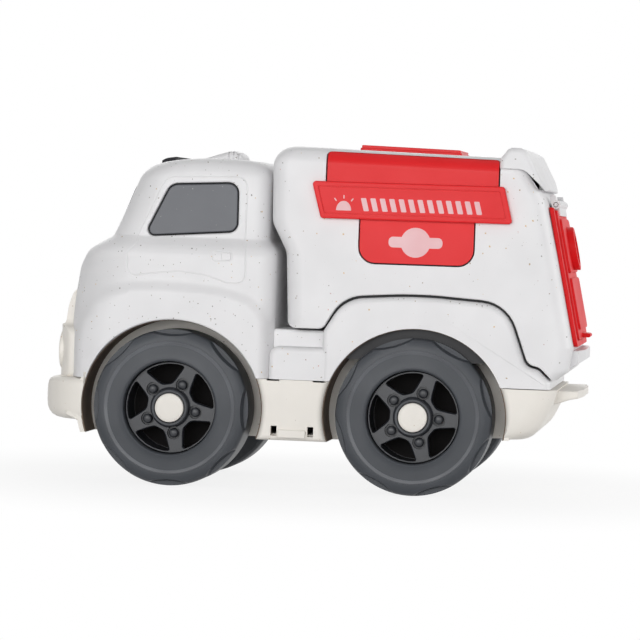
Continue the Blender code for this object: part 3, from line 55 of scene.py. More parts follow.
# White moulding
SPLIT_Z = 0.0396
BODY_HALF = 0.044
GLASS_HALF = 0.0398
GLASS_LEAN = 0.0033 / 0.0291
SCREEN_LEAN = 0.0105 / 0.0291
CAB_FRONT_X = 0.0889
CAB_REAR_X = 0.0130
SCREEN_FOOT_X = 0.0746
BELT_Z = 0.0887
ROOF_Z = 0.1178
ROOF_CREST_X = 0.036
ROOF_CROWN = 3.8  # the fall of the roof for the square of the way from its crest
WALL = 0.0024
SWELL = 0.0019  # how far the front fender stands out
SWELL_RUN = 0.0046  # over what breadth it does
DECK_Z = 0.0575

# Box
BOX_HALF = 0.045
BOX_ROOF_Z = 0.1229
BOX_FRONT_X = 0.0156
BOX_FOOT_X = -0.0933
BOX_LEAN = 0.2125  # how far the rear face moves forward for each metre up
BOX_LEAN_Z = 0.056  # the height at which it stands at BOX_FOOT_X
ROOF_FALL = 0.0250  # the fall of the roof for each metre behind ROOF_BEND_X
ROOF_BEND_X = BOX_FRONT_X - 0.0065
BOX_WALL = 0.0028
PANEL_INSET = 0.00012
SEAM = 0.0009
PANEL_GAP = 0.00055

# Tray
TRAY_HALF = 0.0447
TRAY_FOOT_Z = 0.0178
TRAY_WALL = 0.0022
MOUTH_ROUND = 0.0020
SCREWS = [(x, side * 0.0175) for x in (0.0125, -0.0574) for side in (1, -1)]

SIDES = (("left", 1), ("right", -1))
BEYOND = 0.060  # across: farther out than any part of the truck
CREASE = 34.0  # degrees: a sharper edge stays hard


# Outlines: corners are (across, up, fillet radius)


def oblong(low, high, *fillets):
    """Corners of a rectangle from its lower left, with one fillet for all or one for each."""
    (left, foot), (right, head) = low, high
    places = (left, foot), (right, foot), (right, head), (left, head)
    return [(*place, fillet) for place, fillet in zip(places, fillets * 4)]


def circle(u, v, radius, count):
    """Points of a circle, for a slab."""
    turns = [2 * math.pi * step / count for step in range(count)]
    return [(u + radius * math.cos(turn), v + radius * math.sin(turn)) for turn in turns]


def rounded(corners, closed=True, steps=7):
    """Points of an outline whose corners are filleted."""
    points, count = [], len(corners)
    for index, (u, v, radius) in enumerate(corners):
        if radius <= 0 or (not closed and index in (0, count - 1)):
            points.append((u, v))
            continue
        corner = Vector((u, v))
        before = Vector(corners[index - 1][:2]) - corner
        after = Vector(corners[(index + 1) % count][:2]) - corner
        half = before.angle(after) / 2
        reach = min(radius / math.tan(half), 0.499 * min(before.length, after.length))
        radius = reach * math.tan(half)
        middle = corner + (before.normalized() + after.normalized()).normalized() * radius / math.sin(half)
        start = corner + before.normalized() * reach - middle
        turn = start.angle_signed(corner + after.normalized() * reach - middle)
        for step in range(steps + 1):
            arm = start.copy()
            arm.rotate(Matrix.Rotation(-turn * step / steps, 2))
            points.append(tuple(middle + arm))
    return points


def swung(corners, angle):
    """The same corners turned about the middle of their plane."""
    c, s = math.cos(angle), math.sin(angle)
    return [(u * c - v * s, u * s + v * c, radius) for u, v, radius in corners]


def grown(corners, distance):
    """The same corners moved outwards; they run counter-clockwise."""
    moved, count = [], len(corners)
    for index, (u, v, radius) in enumerate(corners):
        corner = Vector((u, v))
        inward = (corner - Vector(corners[index - 1][:2])).normalized()
        outward = (Vector(corners[(index + 1) % count][:2]) - corner).normalized()
        normals = Vector((inward.y, -inward.x)), Vector((outward.y, -outward.x))
        place = corner + (normals[0] + normals[1]) * distance / max(1.0 + normals[0].dot(normals[1]), 0.1)
        convex = inward.x * outward.y - inward.y * outward.x > 0
        moved.append((place.x, place.y, max(radius + (distance if convex else -distance), 1e-5) if radius else 0))
    return moved


def at_height(path, height):
    """Where an open, rising outline is at a height."""
    for (u0, v0), (u1, v1) in zip(path, path[1:]):
        if v1 > height - 1e-7 and v1 > v0:
            return u0 + (u1 - u0) * min(1.0, max(0.0, (height - v0) / (v1 - v0)))
    return path[-1][0]


def levels(low, high, step, *paths):
    """Heights for a skin: every bend of the paths, with the gaps between them filled."""
    marks = sorted({low, high, *[v for path in paths for _, v in path if low < v < high]})
    kept = [marks[0]]
    for mark in marks[1:]:
        if mark - kept[-1] < 0.00016 and mark != high:
            continue
        parts = max(1, round((mark - kept[-1]) / step))
        start = kept[-1]
        kept += [start + (mark - start) * part / parts for part in range(1, parts + 1)]
    return kept


# Meshes


def finished(work, name, crease=CREASE):
    """The bmesh as a mesh, its doubles merged, its faces turned outwards and its soft edges smooth."""
    bmesh.ops.remove_doubles(work, verts=work.verts, dist=1e-6)
    bmesh.ops.recalc_face_normals(work, faces=work.faces)
    mesh = bpy.data.meshes.new(name)
    work.to_mesh(mesh)
    work.free()
    return shaded(mesh, crease)


def shaded(mesh, crease=CREASE):
    """The mesh with soft faces and hard creases."""
    mesh.shade_smooth()
    mesh.set_sharp_from_angle(angle=math.radians(crease))
    return mesh


TURNS = {
    "x": Matrix(((0, 0, 1, 0), (1, 0, 0, 0), (0, 1, 0, 0), (0, 0, 0, 1))),
    "y": Matrix(((1, 0, 0, 0), (0, 0, 1, 0), (0, 1, 0, 0), (0, 0, 0, 1))),
    "z": Matrix.Identity(4),
}


def slab(outline, low, high, axis="y", edge=0.0, steps=3, rims="both"):
    """An outline given a thickness along an axis, with its rims rounded."""
    work = bmesh.new()
    face = work.faces.new([work.verts.new((u, v, low)) for u, v in outline])
    lid = bmesh.ops.extrude_face_region(work, geom=[face])["geom"]
    bmesh.ops.translate(work, vec=(0, 0, high - low), verts=[g for g in lid if isinstance(g, bmesh.types.BMVert)])
    bmesh.ops.recalc_face_normals(work, faces=work.faces)
    if edge:
        ends = (high,) if rims == "high" else (low, high)
        rim = [e for e in work.edges if any(all(abs(v.co.z - end) < 1e-7 for v in e.verts) for end in ends)]
        bmesh.ops.bevel(work, geom=rim, offset=edge, offset_type="OFFSET", segments=steps, profile=0.5,
                        affect="EDGES", material=-1, clamp_overlap=False)
    work.transform(TURNS[axis])
    return finished(work, "slab")


def plate(corners, low, high, axis="y", edge=0.0, steps=3, rims="both", fillet_steps=7):
    """A slab whose corners are filleted."""
    return slab(rounded(corners, steps=fillet_steps), low, high, axis, edge, steps, rims)


def wrapped(rings):
    """A closed skin: a grid wrapped round through successive rings, with its ends filled."""
    work = bmesh.new()
    around, rows = len(rings[0]), len(rings) - 1
    bmesh.ops.create_grid(work, x_segments=around, y_segments=rows, size=0.5)
    places = {vert: (round((vert.co.x + 0.5) * around) % around, round((vert.co.y + 0.5) * rows))
              for vert in work.verts}
    for vert, (column, row) in places.items():
        vert.co = rings[row][column]
    bmesh.ops.remove_doubles(work, verts=work.verts, dist=1e-6)
    bmesh.ops.holes_fill(work, edges=[e for e in work.edges if e.is_boundary])
    return finished(work, "skin")


def funnel(corners, stages, axis="y"):
    """A cutter whose outline grows at its mouth: stages are (place along the axis, growth)."""
    rings = [[TURNS[axis] @ Vector((u, v, along)) for u, v in rounded(grown(corners, growth))]
             for along, growth in stages]
    return wrapped(rings)


def turned(profile, steps, crease=CREASE):
    """A profile of (radius, along) turned about Y."""
    work = bmesh.new()
    verts = [work.verts.new((radius, along, 0.0)) for radius, along in profile]
    edges = [work.edges.new(pair) for pair in zip(verts, verts[1:])]
    if all(radius > 1e-6 for radius, _ in profile):
        edges.append(work.edges.new((verts[-1], verts[0])))
    bmesh.ops.spin(work, geom=verts + edges, cent=(0, 0, 0), axis=(0, 1, 0), dvec=(0, 0, 0),
                   angle=2 * math.pi, steps=steps, use_merge=True)
    return finished(work, "turned", crease)


def block(low, high, edge=0.0):
    """A box between two corners, with rounded edges."""
    work = bmesh.new()
    bmesh.ops.create_cube(work, size=1.0)
    bmesh.ops.scale(work, vec=Vector(high) - Vector(low), verts=work.verts)
    bmesh.ops.translate(work, vec=(Vector(high) + Vector(low)) / 2, verts=work.verts)
    if edge:
        bmesh.ops.bevel(work, geom=work.edges[:], offset=edge, offset_type="OFFSET", segments=2, profile=0.5,
                        affect="EDGES", material=-1)
    return finished(work, "block")


def rod(radius, start, end, steps):
    """A plain round bar between two points."""
    work = bmesh.new()
    line = Vector(end) - Vector(start)
    turn = line.to_track_quat("Z", "Y").to_matrix().to_4x4()
    bmesh.ops.create_cone(work, cap_ends=True, segments=steps, radius1=radius, radius2=radius, depth=line.length,
                          matrix=Matrix.Translation((Vector(start) + Vector(end)) / 2) @ turn)
    return finished(work, "rod")


def groove(points, radius):
    """A thin round tool that follows a closed line in space."""
    curve = bpy.data.curves.new("groove", "CURVE")
    curve.dimensions = "3D"
    curve.bevel_depth = radius
    curve.bevel_resolution = 1
    spline = curve.splines.new("POLY")
    spline.points.add(len(points) - 1)
    for point, place in zip(spline.points, points):
        point.co = (*place, 1.0)
    spline.use_cyclic_u = True
    return baked(bpy.data.objects.new("groove", curve))


def baked(thing):
    """The mesh that an object and its modifiers give; the object goes."""
    bpy.context.scene.collection.objects.link(thing)
    bpy.context.view_layer.update()
    mesh = bpy.data.meshes.new_from_object(thing.evaluated_get(bpy.context.evaluated_depsgraph_get()))
    bpy.data.objects.remove(thing, do_unlink=True)
    return mesh


def carved(base, *tools, how="DIFFERENCE", crease=CREASE):
    """base after each tool has been cut from it, added to it or intersected with it."""
    thing = bpy.data.objects.new("carved", base)
    helpers = []
    for tool in tools:
        helper = bpy.data.objects.new("tool", tool)
        bpy.context.scene.collection.objects.link(helper)
        helpers.append(helper)
        step = thing.modifiers.new("step", "BOOLEAN")
        step.object, step.operation, step.solver = helper, how, "MANIFOLD"
    mesh = baked(thing)
    for helper in helpers:
        bpy.data.objects.remove(helper, do_unlink=True)
    return shaded(mesh, crease)


def joined(base, *tools, crease=CREASE):
    """base and the tools as one closed form."""
    return carved(base, *tools, how="UNION", crease=crease)


def shared(base, tool):
    """What base and tool have in common."""
    return carved(base, tool, how="INTERSECT")


def together(*meshes):
    """One mesh that holds several."""
    work = bmesh.new()
    for mesh in meshes:
        work.from_mesh(mesh)
    whole = bpy.data.meshes.new("together")
    work.to_mesh(whole)
    work.free()
    return shaded(whole)


def moved(mesh, matrix):
    """A copy of a mesh put through a matrix, its faces still outwards."""
    work = bmesh.new()
    work.from_mesh(mesh)
    work.transform(matrix)
    if matrix.determinant() < 0:
        bmesh.ops.reverse_faces(work, faces=work.faces)
    copy = bpy.data.meshes.new(mesh.name)
    work.to_mesh(copy)
    work.free()
    return shaded(copy)


MIRROR = Matrix.Diagonal((1, -1, 1, 1))


def both_sides(mesh):
    """A left-hand form and its right-hand twin."""
    return [mesh, moved(mesh, MIRROR)]


def across(side, near, far):
    """The lower and higher Y of what lies from near to far on one side."""
    return sorted((side * near, side * far))


def shear(along, by, slope, about):
    """A matrix that slides axis `along` by slope for each metre of axis `by` above `about`."""
    matrix = Matrix.Identity(4)
    matrix[along][by] = slope
    matrix[along][3] = -slope * about
    return matrix


def piece(name, mesh, material, *nodes, body="truck"):
    """A finished piece of the truck: it rides on a body and stands for CAD nodes."""
    work = bmesh.new()
    work.from_mesh(mesh)
    bmesh.ops.remove_doubles(work, verts=work.verts, dist=8e-6)
    bmesh.ops.dissolve_degenerate(work, edges=work.edges, dist=8e-6)
    bmesh.ops.dissolve_limit(work, angle_limit=math.radians(0.15), verts=[], edges=work.edges,
                             delimit={"SHARP"})
    work.to_mesh(mesh)
    work.free()
    smoothed = bpy.data.objects.new(name, mesh)
    smoothed.modifiers.new("even faces", "WEIGHTED_NORMAL").keep_sharp = True
    mesh = baked(smoothed)
    mesh.name = name
    mesh.materials.clear()
    mesh.materials.append(material)
    thing = bpy.data.objects.new(name, mesh)
    bpy.context.scene.collection.objects.link(thing)
    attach(thing, body)
    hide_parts(*nodes)


# Finishes


def group(name, inputs, outputs):
    """A new node group with its sockets: its tree, what it is given and what it puts out."""
    tree = bpy.data.node_groups.new(name, "ShaderNodeTree")
    for label, kind, value in inputs:
        socket = tree.interface.new_socket(label, in_out="INPUT", socket_type=kind)
        if value is not None:
            socket.default_value = value
    for label, kind in outputs:
        tree.interface.new_socket(label, in_out="OUTPUT", socket_type=kind)
    return tree, tree.nodes.new("NodeGroupInput").outputs, tree.nodes.new("NodeGroupOutput").inputs


def node(tree, kind, settings=(), **inputs):
    """A node with its settings and inputs; an input may be a value or another node's output."""
    made = tree.nodes.new(kind)
    for key, value in dict(settings).items():
        setattr(made, key, value)
    for key, value in inputs.items():
        socket = made.inputs[int(key[1:])] if key[1:].isdigit() else made.inputs[key.replace("_", " ")]
        if isinstance(value, bpy.types.NodeSocket):
            tree.links.new(value, socket)
        else:
            socket.default_value = value
    return made


def sums(tree, operation, *values):
    """The output of a Math node."""
    inputs = {f"i{index}": value for index, value in enumerate(values)}
    return node(tree, "ShaderNodeMath", {"operation": operation}, **inputs).outputs[0]


def fleck_group():
    """Sparse flecks of two sizes, as ground straw or paper leaves in a moulding."""
    tree, given, put = group(
        "flecks", [("Spacing", "NodeSocketFloat", 300.0), ("Size", "NodeSocketFloat", 0.1),
                   ("Share", "NodeSocketFloat", 0.3)],
        [("Mask", "NodeSocketFloat"), ("Tone", "NodeSocketFloat")])
    place = node(tree, "ShaderNodeTexCoord").outputs["Object"]
    bend = node(tree, "ShaderNodeTexNoise", Vector=place, Scale=900.0, Detail=1.0).outputs["Color"]
    bent = node(tree, "ShaderNodeVectorMath", {"operation": "MULTIPLY_ADD"}, i0=bend, i1=(0.0006,) * 3, i2=place)
    cells = node(tree, "ShaderNodeTexVoronoi", Vector=bent.outputs[0], Scale=given["Spacing"])
    split = node(tree, "ShaderNodeSeparateColor", Color=cells.outputs["Color"])
    kept = sums(tree, "LESS_THAN", split.outputs[0], given["Share"])
    size = sums(tree, "MULTIPLY", given["Size"], sums(tree, "MULTIPLY_ADD", split.outputs[1], 1.1, 0.35))
    edge = sums(tree, "SUBTRACT", size, cells.outputs["Distance"])
    soft = node(tree, "ShaderNodeMapRange", {"interpolation_type": "SMOOTHSTEP"}, Value=edge, From_Min=0.0,
                From_Max=0.05).outputs[0]
    tree.links.new(sums(tree, "MULTIPLY", soft, kept), put["Mask"])
    tree.links.new(split.outputs[2], put["Tone"])
    return tree


def grain_group():
    """The skin of a moulding: fine grain over a slow ripple."""
    tree, given, put = group(
        "moulded grain", [("Grain", "NodeSocketFloat", 2600.0), ("Ripple", "NodeSocketFloat", 70.0),
                          ("Ripple Share", "NodeSocketFloat", 0.5)],
        [("Height", "NodeSocketFloat"), ("Cloud", "NodeSocketFloat")])
    place = node(tree, "ShaderNodeTexCoord").outputs["Object"]
    fine = node(tree, "ShaderNodeTexNoise", Vector=place, Scale=given["Grain"], Detail=3.0, Roughness=0.6)
    slow = node(tree, "ShaderNodeTexNoise", Vector=place, Scale=given["Ripple"], Detail=2.0, Roughness=0.5)
    height = sums(tree, "MULTIPLY_ADD", slow.outputs["Fac"], given["Ripple Share"], fine.outputs["Fac"])
    tree.links.new(height, put["Height"])
    tree.links.new(slow.outputs["Fac"], put["Cloud"])
    return tree


FLECKS = fleck_group()
GRAIN = grain_group()


def place_group(tree, made, **values):
    """A node group placed in a material with its own values."""
    used = tree.nodes.new("ShaderNodeGroup")
    used.node_tree = made
    for key, value in values.items():
        used.inputs[key.replace("_", " ")].default_value = value
    return used.outputs


def blend(tree, share, first, second):
    """A mix of two colours by a share that may be a socket."""
    mix = tree.nodes.new("ShaderNodeMix")
    mix.data_type = "RGBA"
    for socket, value in zip((mix.inputs[0], mix.inputs[6], mix.inputs[7]), (share, first, second)):
        if isinstance(value, bpy.types.NodeSocket):
            tree.links.new(value, socket)
        else:
            socket.default_value = (*value, 1.0) if isinstance(value, tuple) else value
    return mix.outputs[2]


def moulding(name, colour, roughness, cloud=None, grain=0.12, ripple=70.0, flecks=(), metallic=0.0,
             fine=2600.0, specular=0.5):
    """A moulded plastic: a base colour that drifts a little, grain in its skin, and any flecks it holds."""
    material = bpy.data.materials.new(name)
    material.use_nodes = True
    tree = material.node_tree
    shader = tree.nodes["Principled BSDF"]
    skin = place_group(tree, GRAIN, Grain=fine, Ripple=ripple, Ripple_Share=0.5)
    drift = node(tree, "ShaderNodeMapRange", Value=skin["Cloud"], From_Min=0.3, From_Max=0.7).outputs[0]
    result = blend(tree, drift, colour, cloud or tuple(c * 0.955 for c in colour))
    for spacing, size, share, dark, light in flecks:
        marks = place_group(tree, FLECKS, Spacing=spacing, Size=size, Share=share)
        tone = blend(tree, marks["Tone"], dark, light)
        result = blend(tree, marks["Mask"], result, tone)
    tree.links.new(result, shader.inputs["Base Color"])
    rough = node(tree, "ShaderNodeMapRange", Value=skin["Cloud"], From_Min=0.25, From_Max=0.75,
                 To_Min=roughness - 0.03, To_Max=roughness + 0.04).outputs[0]
    tree.links.new(rough, shader.inputs["Roughness"])
    bump = node(tree, "ShaderNodeBump", Strength=grain, Distance=0.0001, Height=skin["Height"])
    tree.links.new(bump.outputs[0], shader.inputs["Normal"])
    shader.inputs["Metallic"].default_value = metallic
    shader.inputs["Specular IOR Level"].default_value = specular
    return material


# A row of flecks: cells in a metre, size of a fleck, share of cells that hold one, its darkest and its lightest tone
GREY_FLECK, BROWN_FLECK = (0.30, 0.29, 0.30), (0.45, 0.38, 0.32)
RED_FLECK, STRAW_FLECK = (0.62, 0.22, 0.16), (0.75, 0.52, 0.22)
WHITE = moulding("white body plastic", (0.82, 0.815, 0.825), 0.42, flecks=(
    (600.0, 0.14, 0.45, (0.26, 0.25, 0.25), (0.50, 0.47, 0.43)),
    (420.0, 0.10, 0.50, (0.36, 0.29, 0.23), STRAW_FLECK),
    (260.0, 0.070, 0.30, GREY_FLECK, RED_FLECK)))
CREAM = moulding("cream moulded plastic", (0.87, 0.835, 0.775), 0.46, flecks=(
    (560.0, 0.11, 0.40, (0.50, 0.42, 0.34), (0.64, 0.50, 0.32)),
    (300.0, 0.07, 0.30, GREY_FLECK, BROWN_FLECK)))
RED = moulding("red panel plastic", (0.80, 0.020, 0.024), 0.36, cloud=(0.77, 0.017, 0.020), grain=0.07,
               specular=0.22, flecks=((190.0, 0.035, 0.10, (0.82, 0.35, 0.33), (0.5, 0.03, 0.03)),))
DOOR_RED = moulding("door red plastic", (0.78, 0.018, 0.022), 0.45, cloud=(0.74, 0.015, 0.018), grain=0.05,
                    specular=0.10)
PRINT = moulding("pale pad print", (0.86, 0.56, 0.58), 0.5, cloud=(0.82, 0.46, 0.48), grain=0.05)
PANE = moulding("dark pane plastic", (0.094, 0.099, 0.113), 0.34, cloud=(0.125, 0.131, 0.146), grain=0.10,
                specular=0.35, ripple=45.0, flecks=((560.0, 0.09, 0.45, (0.20, 0.20, 0.21), (0.34, 0.33, 0.31)),))
# painted shade: dark brown for the wheel wells, where the cream moulding falls into shadow
WELL_SHADE = moulding("painted well shade", (0.20, 0.15, 0.115), 0.6, cloud=(0.13, 0.098, 0.076), specular=0.1)
# painted shadow: near-black for sheets set behind narrow gaps that look dark only from their depth
SHADOW = moulding("painted shadow black", (0.012, 0.012, 0.014), 0.6)
STRIP = moulding("black strip plastic", (0.020, 0.020, 0.024), 0.55, grain=0.10, specular=0.15)
# painted highlight and wear: lighter grey for the tyre's ridge and the hub cap's edge, which catch the light; the
# ridge is also rubbed
HIGHLIGHT_AND_WEAR = moulding("painted highlight and wear grey", (0.115, 0.122, 0.135), 0.40, cloud=(0.075, 0.080, 0.090), grain=0.2)
TYRE = moulding("tyre grey plastic", (0.052, 0.057, 0.066), 0.44, cloud=(0.045, 0.050, 0.058), grain=0.16,
                specular=0.35, flecks=((380.0, 0.045, 0.06, (0.16, 0.16, 0.17), (0.2, 0.2, 0.2)),))
RIM = moulding("rim grey plastic", (0.022, 0.024, 0.029), 0.36, cloud=(0.017, 0.019, 0.024), grain=0.10)
# painted shade: near-black for the floor behind the rim's windows, where the hollow wheel is in shadow
WINDOW_SHADE = moulding("painted window shade black", (0.006, 0.005, 0.005), 0.6, specular=0.1)
STEEL = moulding("bright steel", (0.60, 0.60, 0.61), 0.28, metallic=1.0, grain=0.08, fine=5200.0)

SLOTS = {material.name: slot for slot, materials in (
    ("white_body", (WHITE,)), ("cream_moulding", (CREAM, WELL_SHADE)), ("red_panels", (RED, DOOR_RED, PRINT)),
    ("dark_glazing", (PANE, SHADOW, STRIP)), ("tyre_grey", (TYRE, HIGHLIGHT_AND_WEAR)), ("rim_grey", (RIM, WINDOW_SHADE)),
    ("bright_steel", (STEEL,))) for material in materials}


# The white moulding: cab, deck and rear hump


# The front fender's boundary in side view
FENDER = ((0.0133, 0.0200), (0.0860, 0.0200), (0.0868, 0.0480), (0.0856, 0.0570), (0.0812, 0.0655), (0.0752, 0.0706),
          (0.0660, 0.0732), (0.0540, 0.0738), (0.0400, 0.0732), (0.0285, 0.0718), (0.0210, 0.0692), (0.0163, 0.0650),
          (0.0140, 0.0600))
FENDER_TOP_Z = 0.078  # nothing swells above it


def swell_at(x, z):
    """How far the front fender stands out: a soft step inwards of its boundary."""
    inside, nearest = False, 1.0
    spot = Vector((x, z))
    for (x0, z0), (x1, z1) in zip(FENDER, FENDER[1:] + FENDER[:1]):
        if (z0 > z) != (z1 > z) and x < (x1 - x0) * (z - z0) / (z1 - z0) + x0:
            inside = not inside
        start, run = Vector((x0, z0)), Vector((x1 - x0, z1 - z0))
        share = min(1.0, max(0.0, (spot - start).dot(run) / run.length_squared))
        nearest = min(nearest, (spot - start - run * share).length)
    share = min(1.0, nearest / SWELL_RUN) if inside else 0.0
    return SWELL * share * share * (3 - 2 * share)


# Upright outlines of the cab: (x or half width, z, fillet radius), from the split line to the roof
CAB_FOOT_Z = SPLIT_Z - 0.004
CAB_FRONT = rounded([
    (CAB_FRONT_X - 0.0003, CAB_FOOT_Z, 0), (CAB_FRONT_X - 0.0002, 0.0600, 0.020),
    (CAB_FRONT_X - 0.0009, 0.0814, 0.0125), (SCREEN_FOOT_X, BELT_Z, 0.0022),
    (SCREEN_FOOT_X - 0.0105, ROOF_Z, 0.0085), (ROOF_CREST_X, ROOF_Z, 0)], closed=False, steps=10)
CAB_SIDE = rounded([
    (BODY_HALF, CAB_FOOT_Z, 0), (BODY_HALF, BELT_Z - 0.0045, 0.0085), (GLASS_HALF, BELT_Z + 0.0003, 0.0020),
    (GLASS_HALF - 0.0033, ROOF_Z, 0.0072), (0.0, ROOF_Z, 0)], closed=False, steps=8)
CAB_REAR = rounded([
    (CAB_REAR_X, CAB_FOOT_Z, 0), (CAB_REAR_X, BELT_Z - 0.004, 0.006), (CAB_REAR_X + 0.0034, BELT_Z, 0.0020),
    (CAB_REAR_X + 0.0036, ROOF_Z, 0.0055), (ROOF_CREST_X, ROOF_Z, 0)], closed=False, steps=8)


def level_ring(rear_x, front_x, half, rear_radius, front_radius, corner, along):
    """A level rounded rectangle as (x, y, outward x, outward y), mirrored across the middle.

    It has corner steps round each of its corners and along steps down each side.
    """
    left = []
    for x, radius, quarter in ((front_x - front_radius, front_radius, 0), (rear_x + rear_radius, rear_radius, 1)):
        for step in range(corner + 1):
            angle = math.pi / 2 * (quarter + step / corner)
            out = math.cos(angle), math.sin(angle)
            left.append((x + radius * out[0], half - radius + radius * out[1], *out))
        if quarter == 0:
            first, last = front_x - front_radius, rear_x + rear_radius
            left += [(first + (last - first) * step / along, half, 0.0, 1.0) for step in range(1, along)]
    return left + [(x, -y, out_x, -out_y) for x, y, out_x, out_y in reversed(left)]


# The plan radius of the cab's nose at each height: (radius, z)
NOSE_RADII = [(0.0165, 0.0350), (0.0165, 0.0520), (0.0205, 0.0660), (0.0260, 0.0750), (0.0260, 0.0800),
              (0.0150, 0.0870), (0.0125, BELT_Z), (0.0125, ROOF_Z)]


def cab_skin(inset=0.0, fine=True):
    """The cab's outer form with its swelling fenders, or a plainer form drawn inwards for its hollow."""
    step = 0.0012 if fine else 0.004
    heights = levels(CAB_FOOT_Z, ROOF_Z, step, CAB_FRONT, CAB_SIDE, CAB_REAR)
    rings = []
    for height in heights:
        above = max(0.0, (height - BELT_Z) / (ROOF_Z - BELT_Z))
        ring = level_ring(
            at_height(CAB_REAR, height) + inset, at_height(CAB_FRONT, height) - inset,
            at_height(CAB_SIDE, height) - inset, max(0.0062 - inset, 0.001),
            max(at_height(NOSE_RADII, height) - inset, 0.001), corner=9 if fine else 4, along=50 if fine else 6)
        places = []
        for x, y, out_x, out_y in ring:
            push = swell_at(x, height) if fine and height < FENDER_TOP_Z else 0.0
            x += out_x * push
            drop = inset * above + ROOF_CROWN * above * (x - ROOF_CREST_X) ** 2
            places.append((x, y + out_y * push, height - drop))
        rings.append(places)
    top = rings[-1]
    rings += [[(x, y * share, z) for x, y, z in top] for share in (0.65, 0.3, 0.0)]
    return wrapped(rings)


# Panes are drawn upright and then lean with the glass
SIDE_LEAN = shear(1, 2, -GLASS_LEAN, BELT_Z)
FRONT_LEAN = shear(0, 2, -SCREEN_LEAN, BELT_Z)
SIDE_WINDOW = [(0.0620, 0.0888, 0.0026), (0.0529, 0.1083, 0.0046), (0.0279, 0.1095, 0.0040), (0.0274, 0.0914, 0.0036)]
WINDSCREEN = [(-0.0300, 0.0918, 0.003), (0.0300, 0.0918, 0.003), (0.0265, 0.1085, 0.004), (-0.0265, 0.1085, 0.004)]
# How the cutter of a window widens at the surface: (distance outwards, growth)
MOUTH_GROWTH = 0.00052
MOUTH = ((-0.0060, 0.0), (-0.00075, 0.0), (-0.00040, 0.00008), (-0.00014, 0.00026), (0.0, MOUTH_GROWTH),
         (0.0030, MOUTH_GROWTH))


def window_cutters():
    """What the two side windows and the windscreen cut from the cab."""
    side = moved(funnel(SIDE_WINDOW, [(GLASS_HALF + along, growth) for along, growth in MOUTH]), SIDE_LEAN)
    front = funnel(WINDSCREEN, [(SCREEN_FOOT_X + along, growth) for along, growth in MOUTH], axis="x")
    return [*both_sides(side), moved(front, FRONT_LEAN)]


def arch_place(axle_x):
    """Puts a round form at a wheel, stretched a little lengthways."""
    return Matrix.Translation((axle_x, 0, TYRE_RADIUS)) @ Matrix.Diagonal((ARCH_STRETCH, 1, 1, 1))


def arch_cutter(axle_x):
    """What a pair of wheels cuts from the bodywork, its edge eased at the face."""
    face = BODY_HALF + SWELL
    profile = [(0.0, 0.0), (ARCH_RADIUS, 0.0), (ARCH_RADIUS, face - 0.0007), (ARCH_RADIUS + 0.0001, face - 0.0004),
               (ARCH_RADIUS + 0.0003, face - 0.00015), (ARCH_RADIUS + 0.0006, face), (ARCH_RADIUS + 0.0006, BEYOND),
               (0.0, BEYOND)]
    return both_sides(moved(turned(profile, 128), arch_place(axle_x)))


def side_spot(x, z):
    """A point on the cab's left side."""
    radius = at_height(NOSE_RADII, z)
    beyond = max(0.0, x - at_height(CAB_FRONT, z) + radius)
    turn_in = radius - math.sqrt(radius * radius - beyond * beyond)
    return Vector((x, at_height(CAB_SIDE, z) + swell_at(x, z) - turn_in, z))


def on_cab(points, lift):
    """Points of a closed line laid on the cab's left side, less than a millimetre apart."""
    laid = []
    for (x0, z0), (x1, z1) in zip(points, points[1:] + points[:1]):
        parts = max(1, int(math.dist((x0, z0), (x1, z1)) / 0.0008))
        laid += [side_spot(x0 + (x1 - x0) * p / parts, z0 + (z1 - z0) * p / parts) + Vector((0, lift, 0))
                 for p in range(parts)]
    return laid


# The seam of the cab door in side view, and the handle pressed into it
DOOR_LINE = [
    (0.0249, 0.1114, 0.004), (0.0246, 0.0880, 0), (0.0238, 0.0860, 0), (0.0236, 0.0733, 0.0032),
    (0.0300, 0.0732, 0.004), (0.0376, 0.0757, 0.010), (0.0470, 0.0770, 0.020), (0.0590, 0.0756, 0.010),
    (0.0668, 0.0744, 0.0050), (0.0669, 0.0830, 0.003), (0.0634, 0.0866, 0.002), (0.0634, 0.0895, 0.004),
    (0.0544, 0.1106, 0.005)]
HANDLE = oblong((0.0288, 0.0810), (0.0356, 0.0845), 0.0012)
HANDLE_BLOCK = oblong((0.0291, 0.0814), (0.0325, 0.0840), 0.0007)


def hump_corners(foot_z=SPLIT_Z):
    """The side view of the rear hump."""
    return [
        (-0.0040, foot_z, 0), (-0.0040, DECK_Z, 0.004), (-0.0118, 0.0700, 0.014), (-0.0380, 0.0719, 0.150),
        (-0.0705, 0.0698, 0.014), (-0.0783, 0.0483, 0.004), (-0.0825, 0.0473, 0.004), (-0.0872, 0.0428, 0.003),
        (-0.0877, foot_z, 0)]


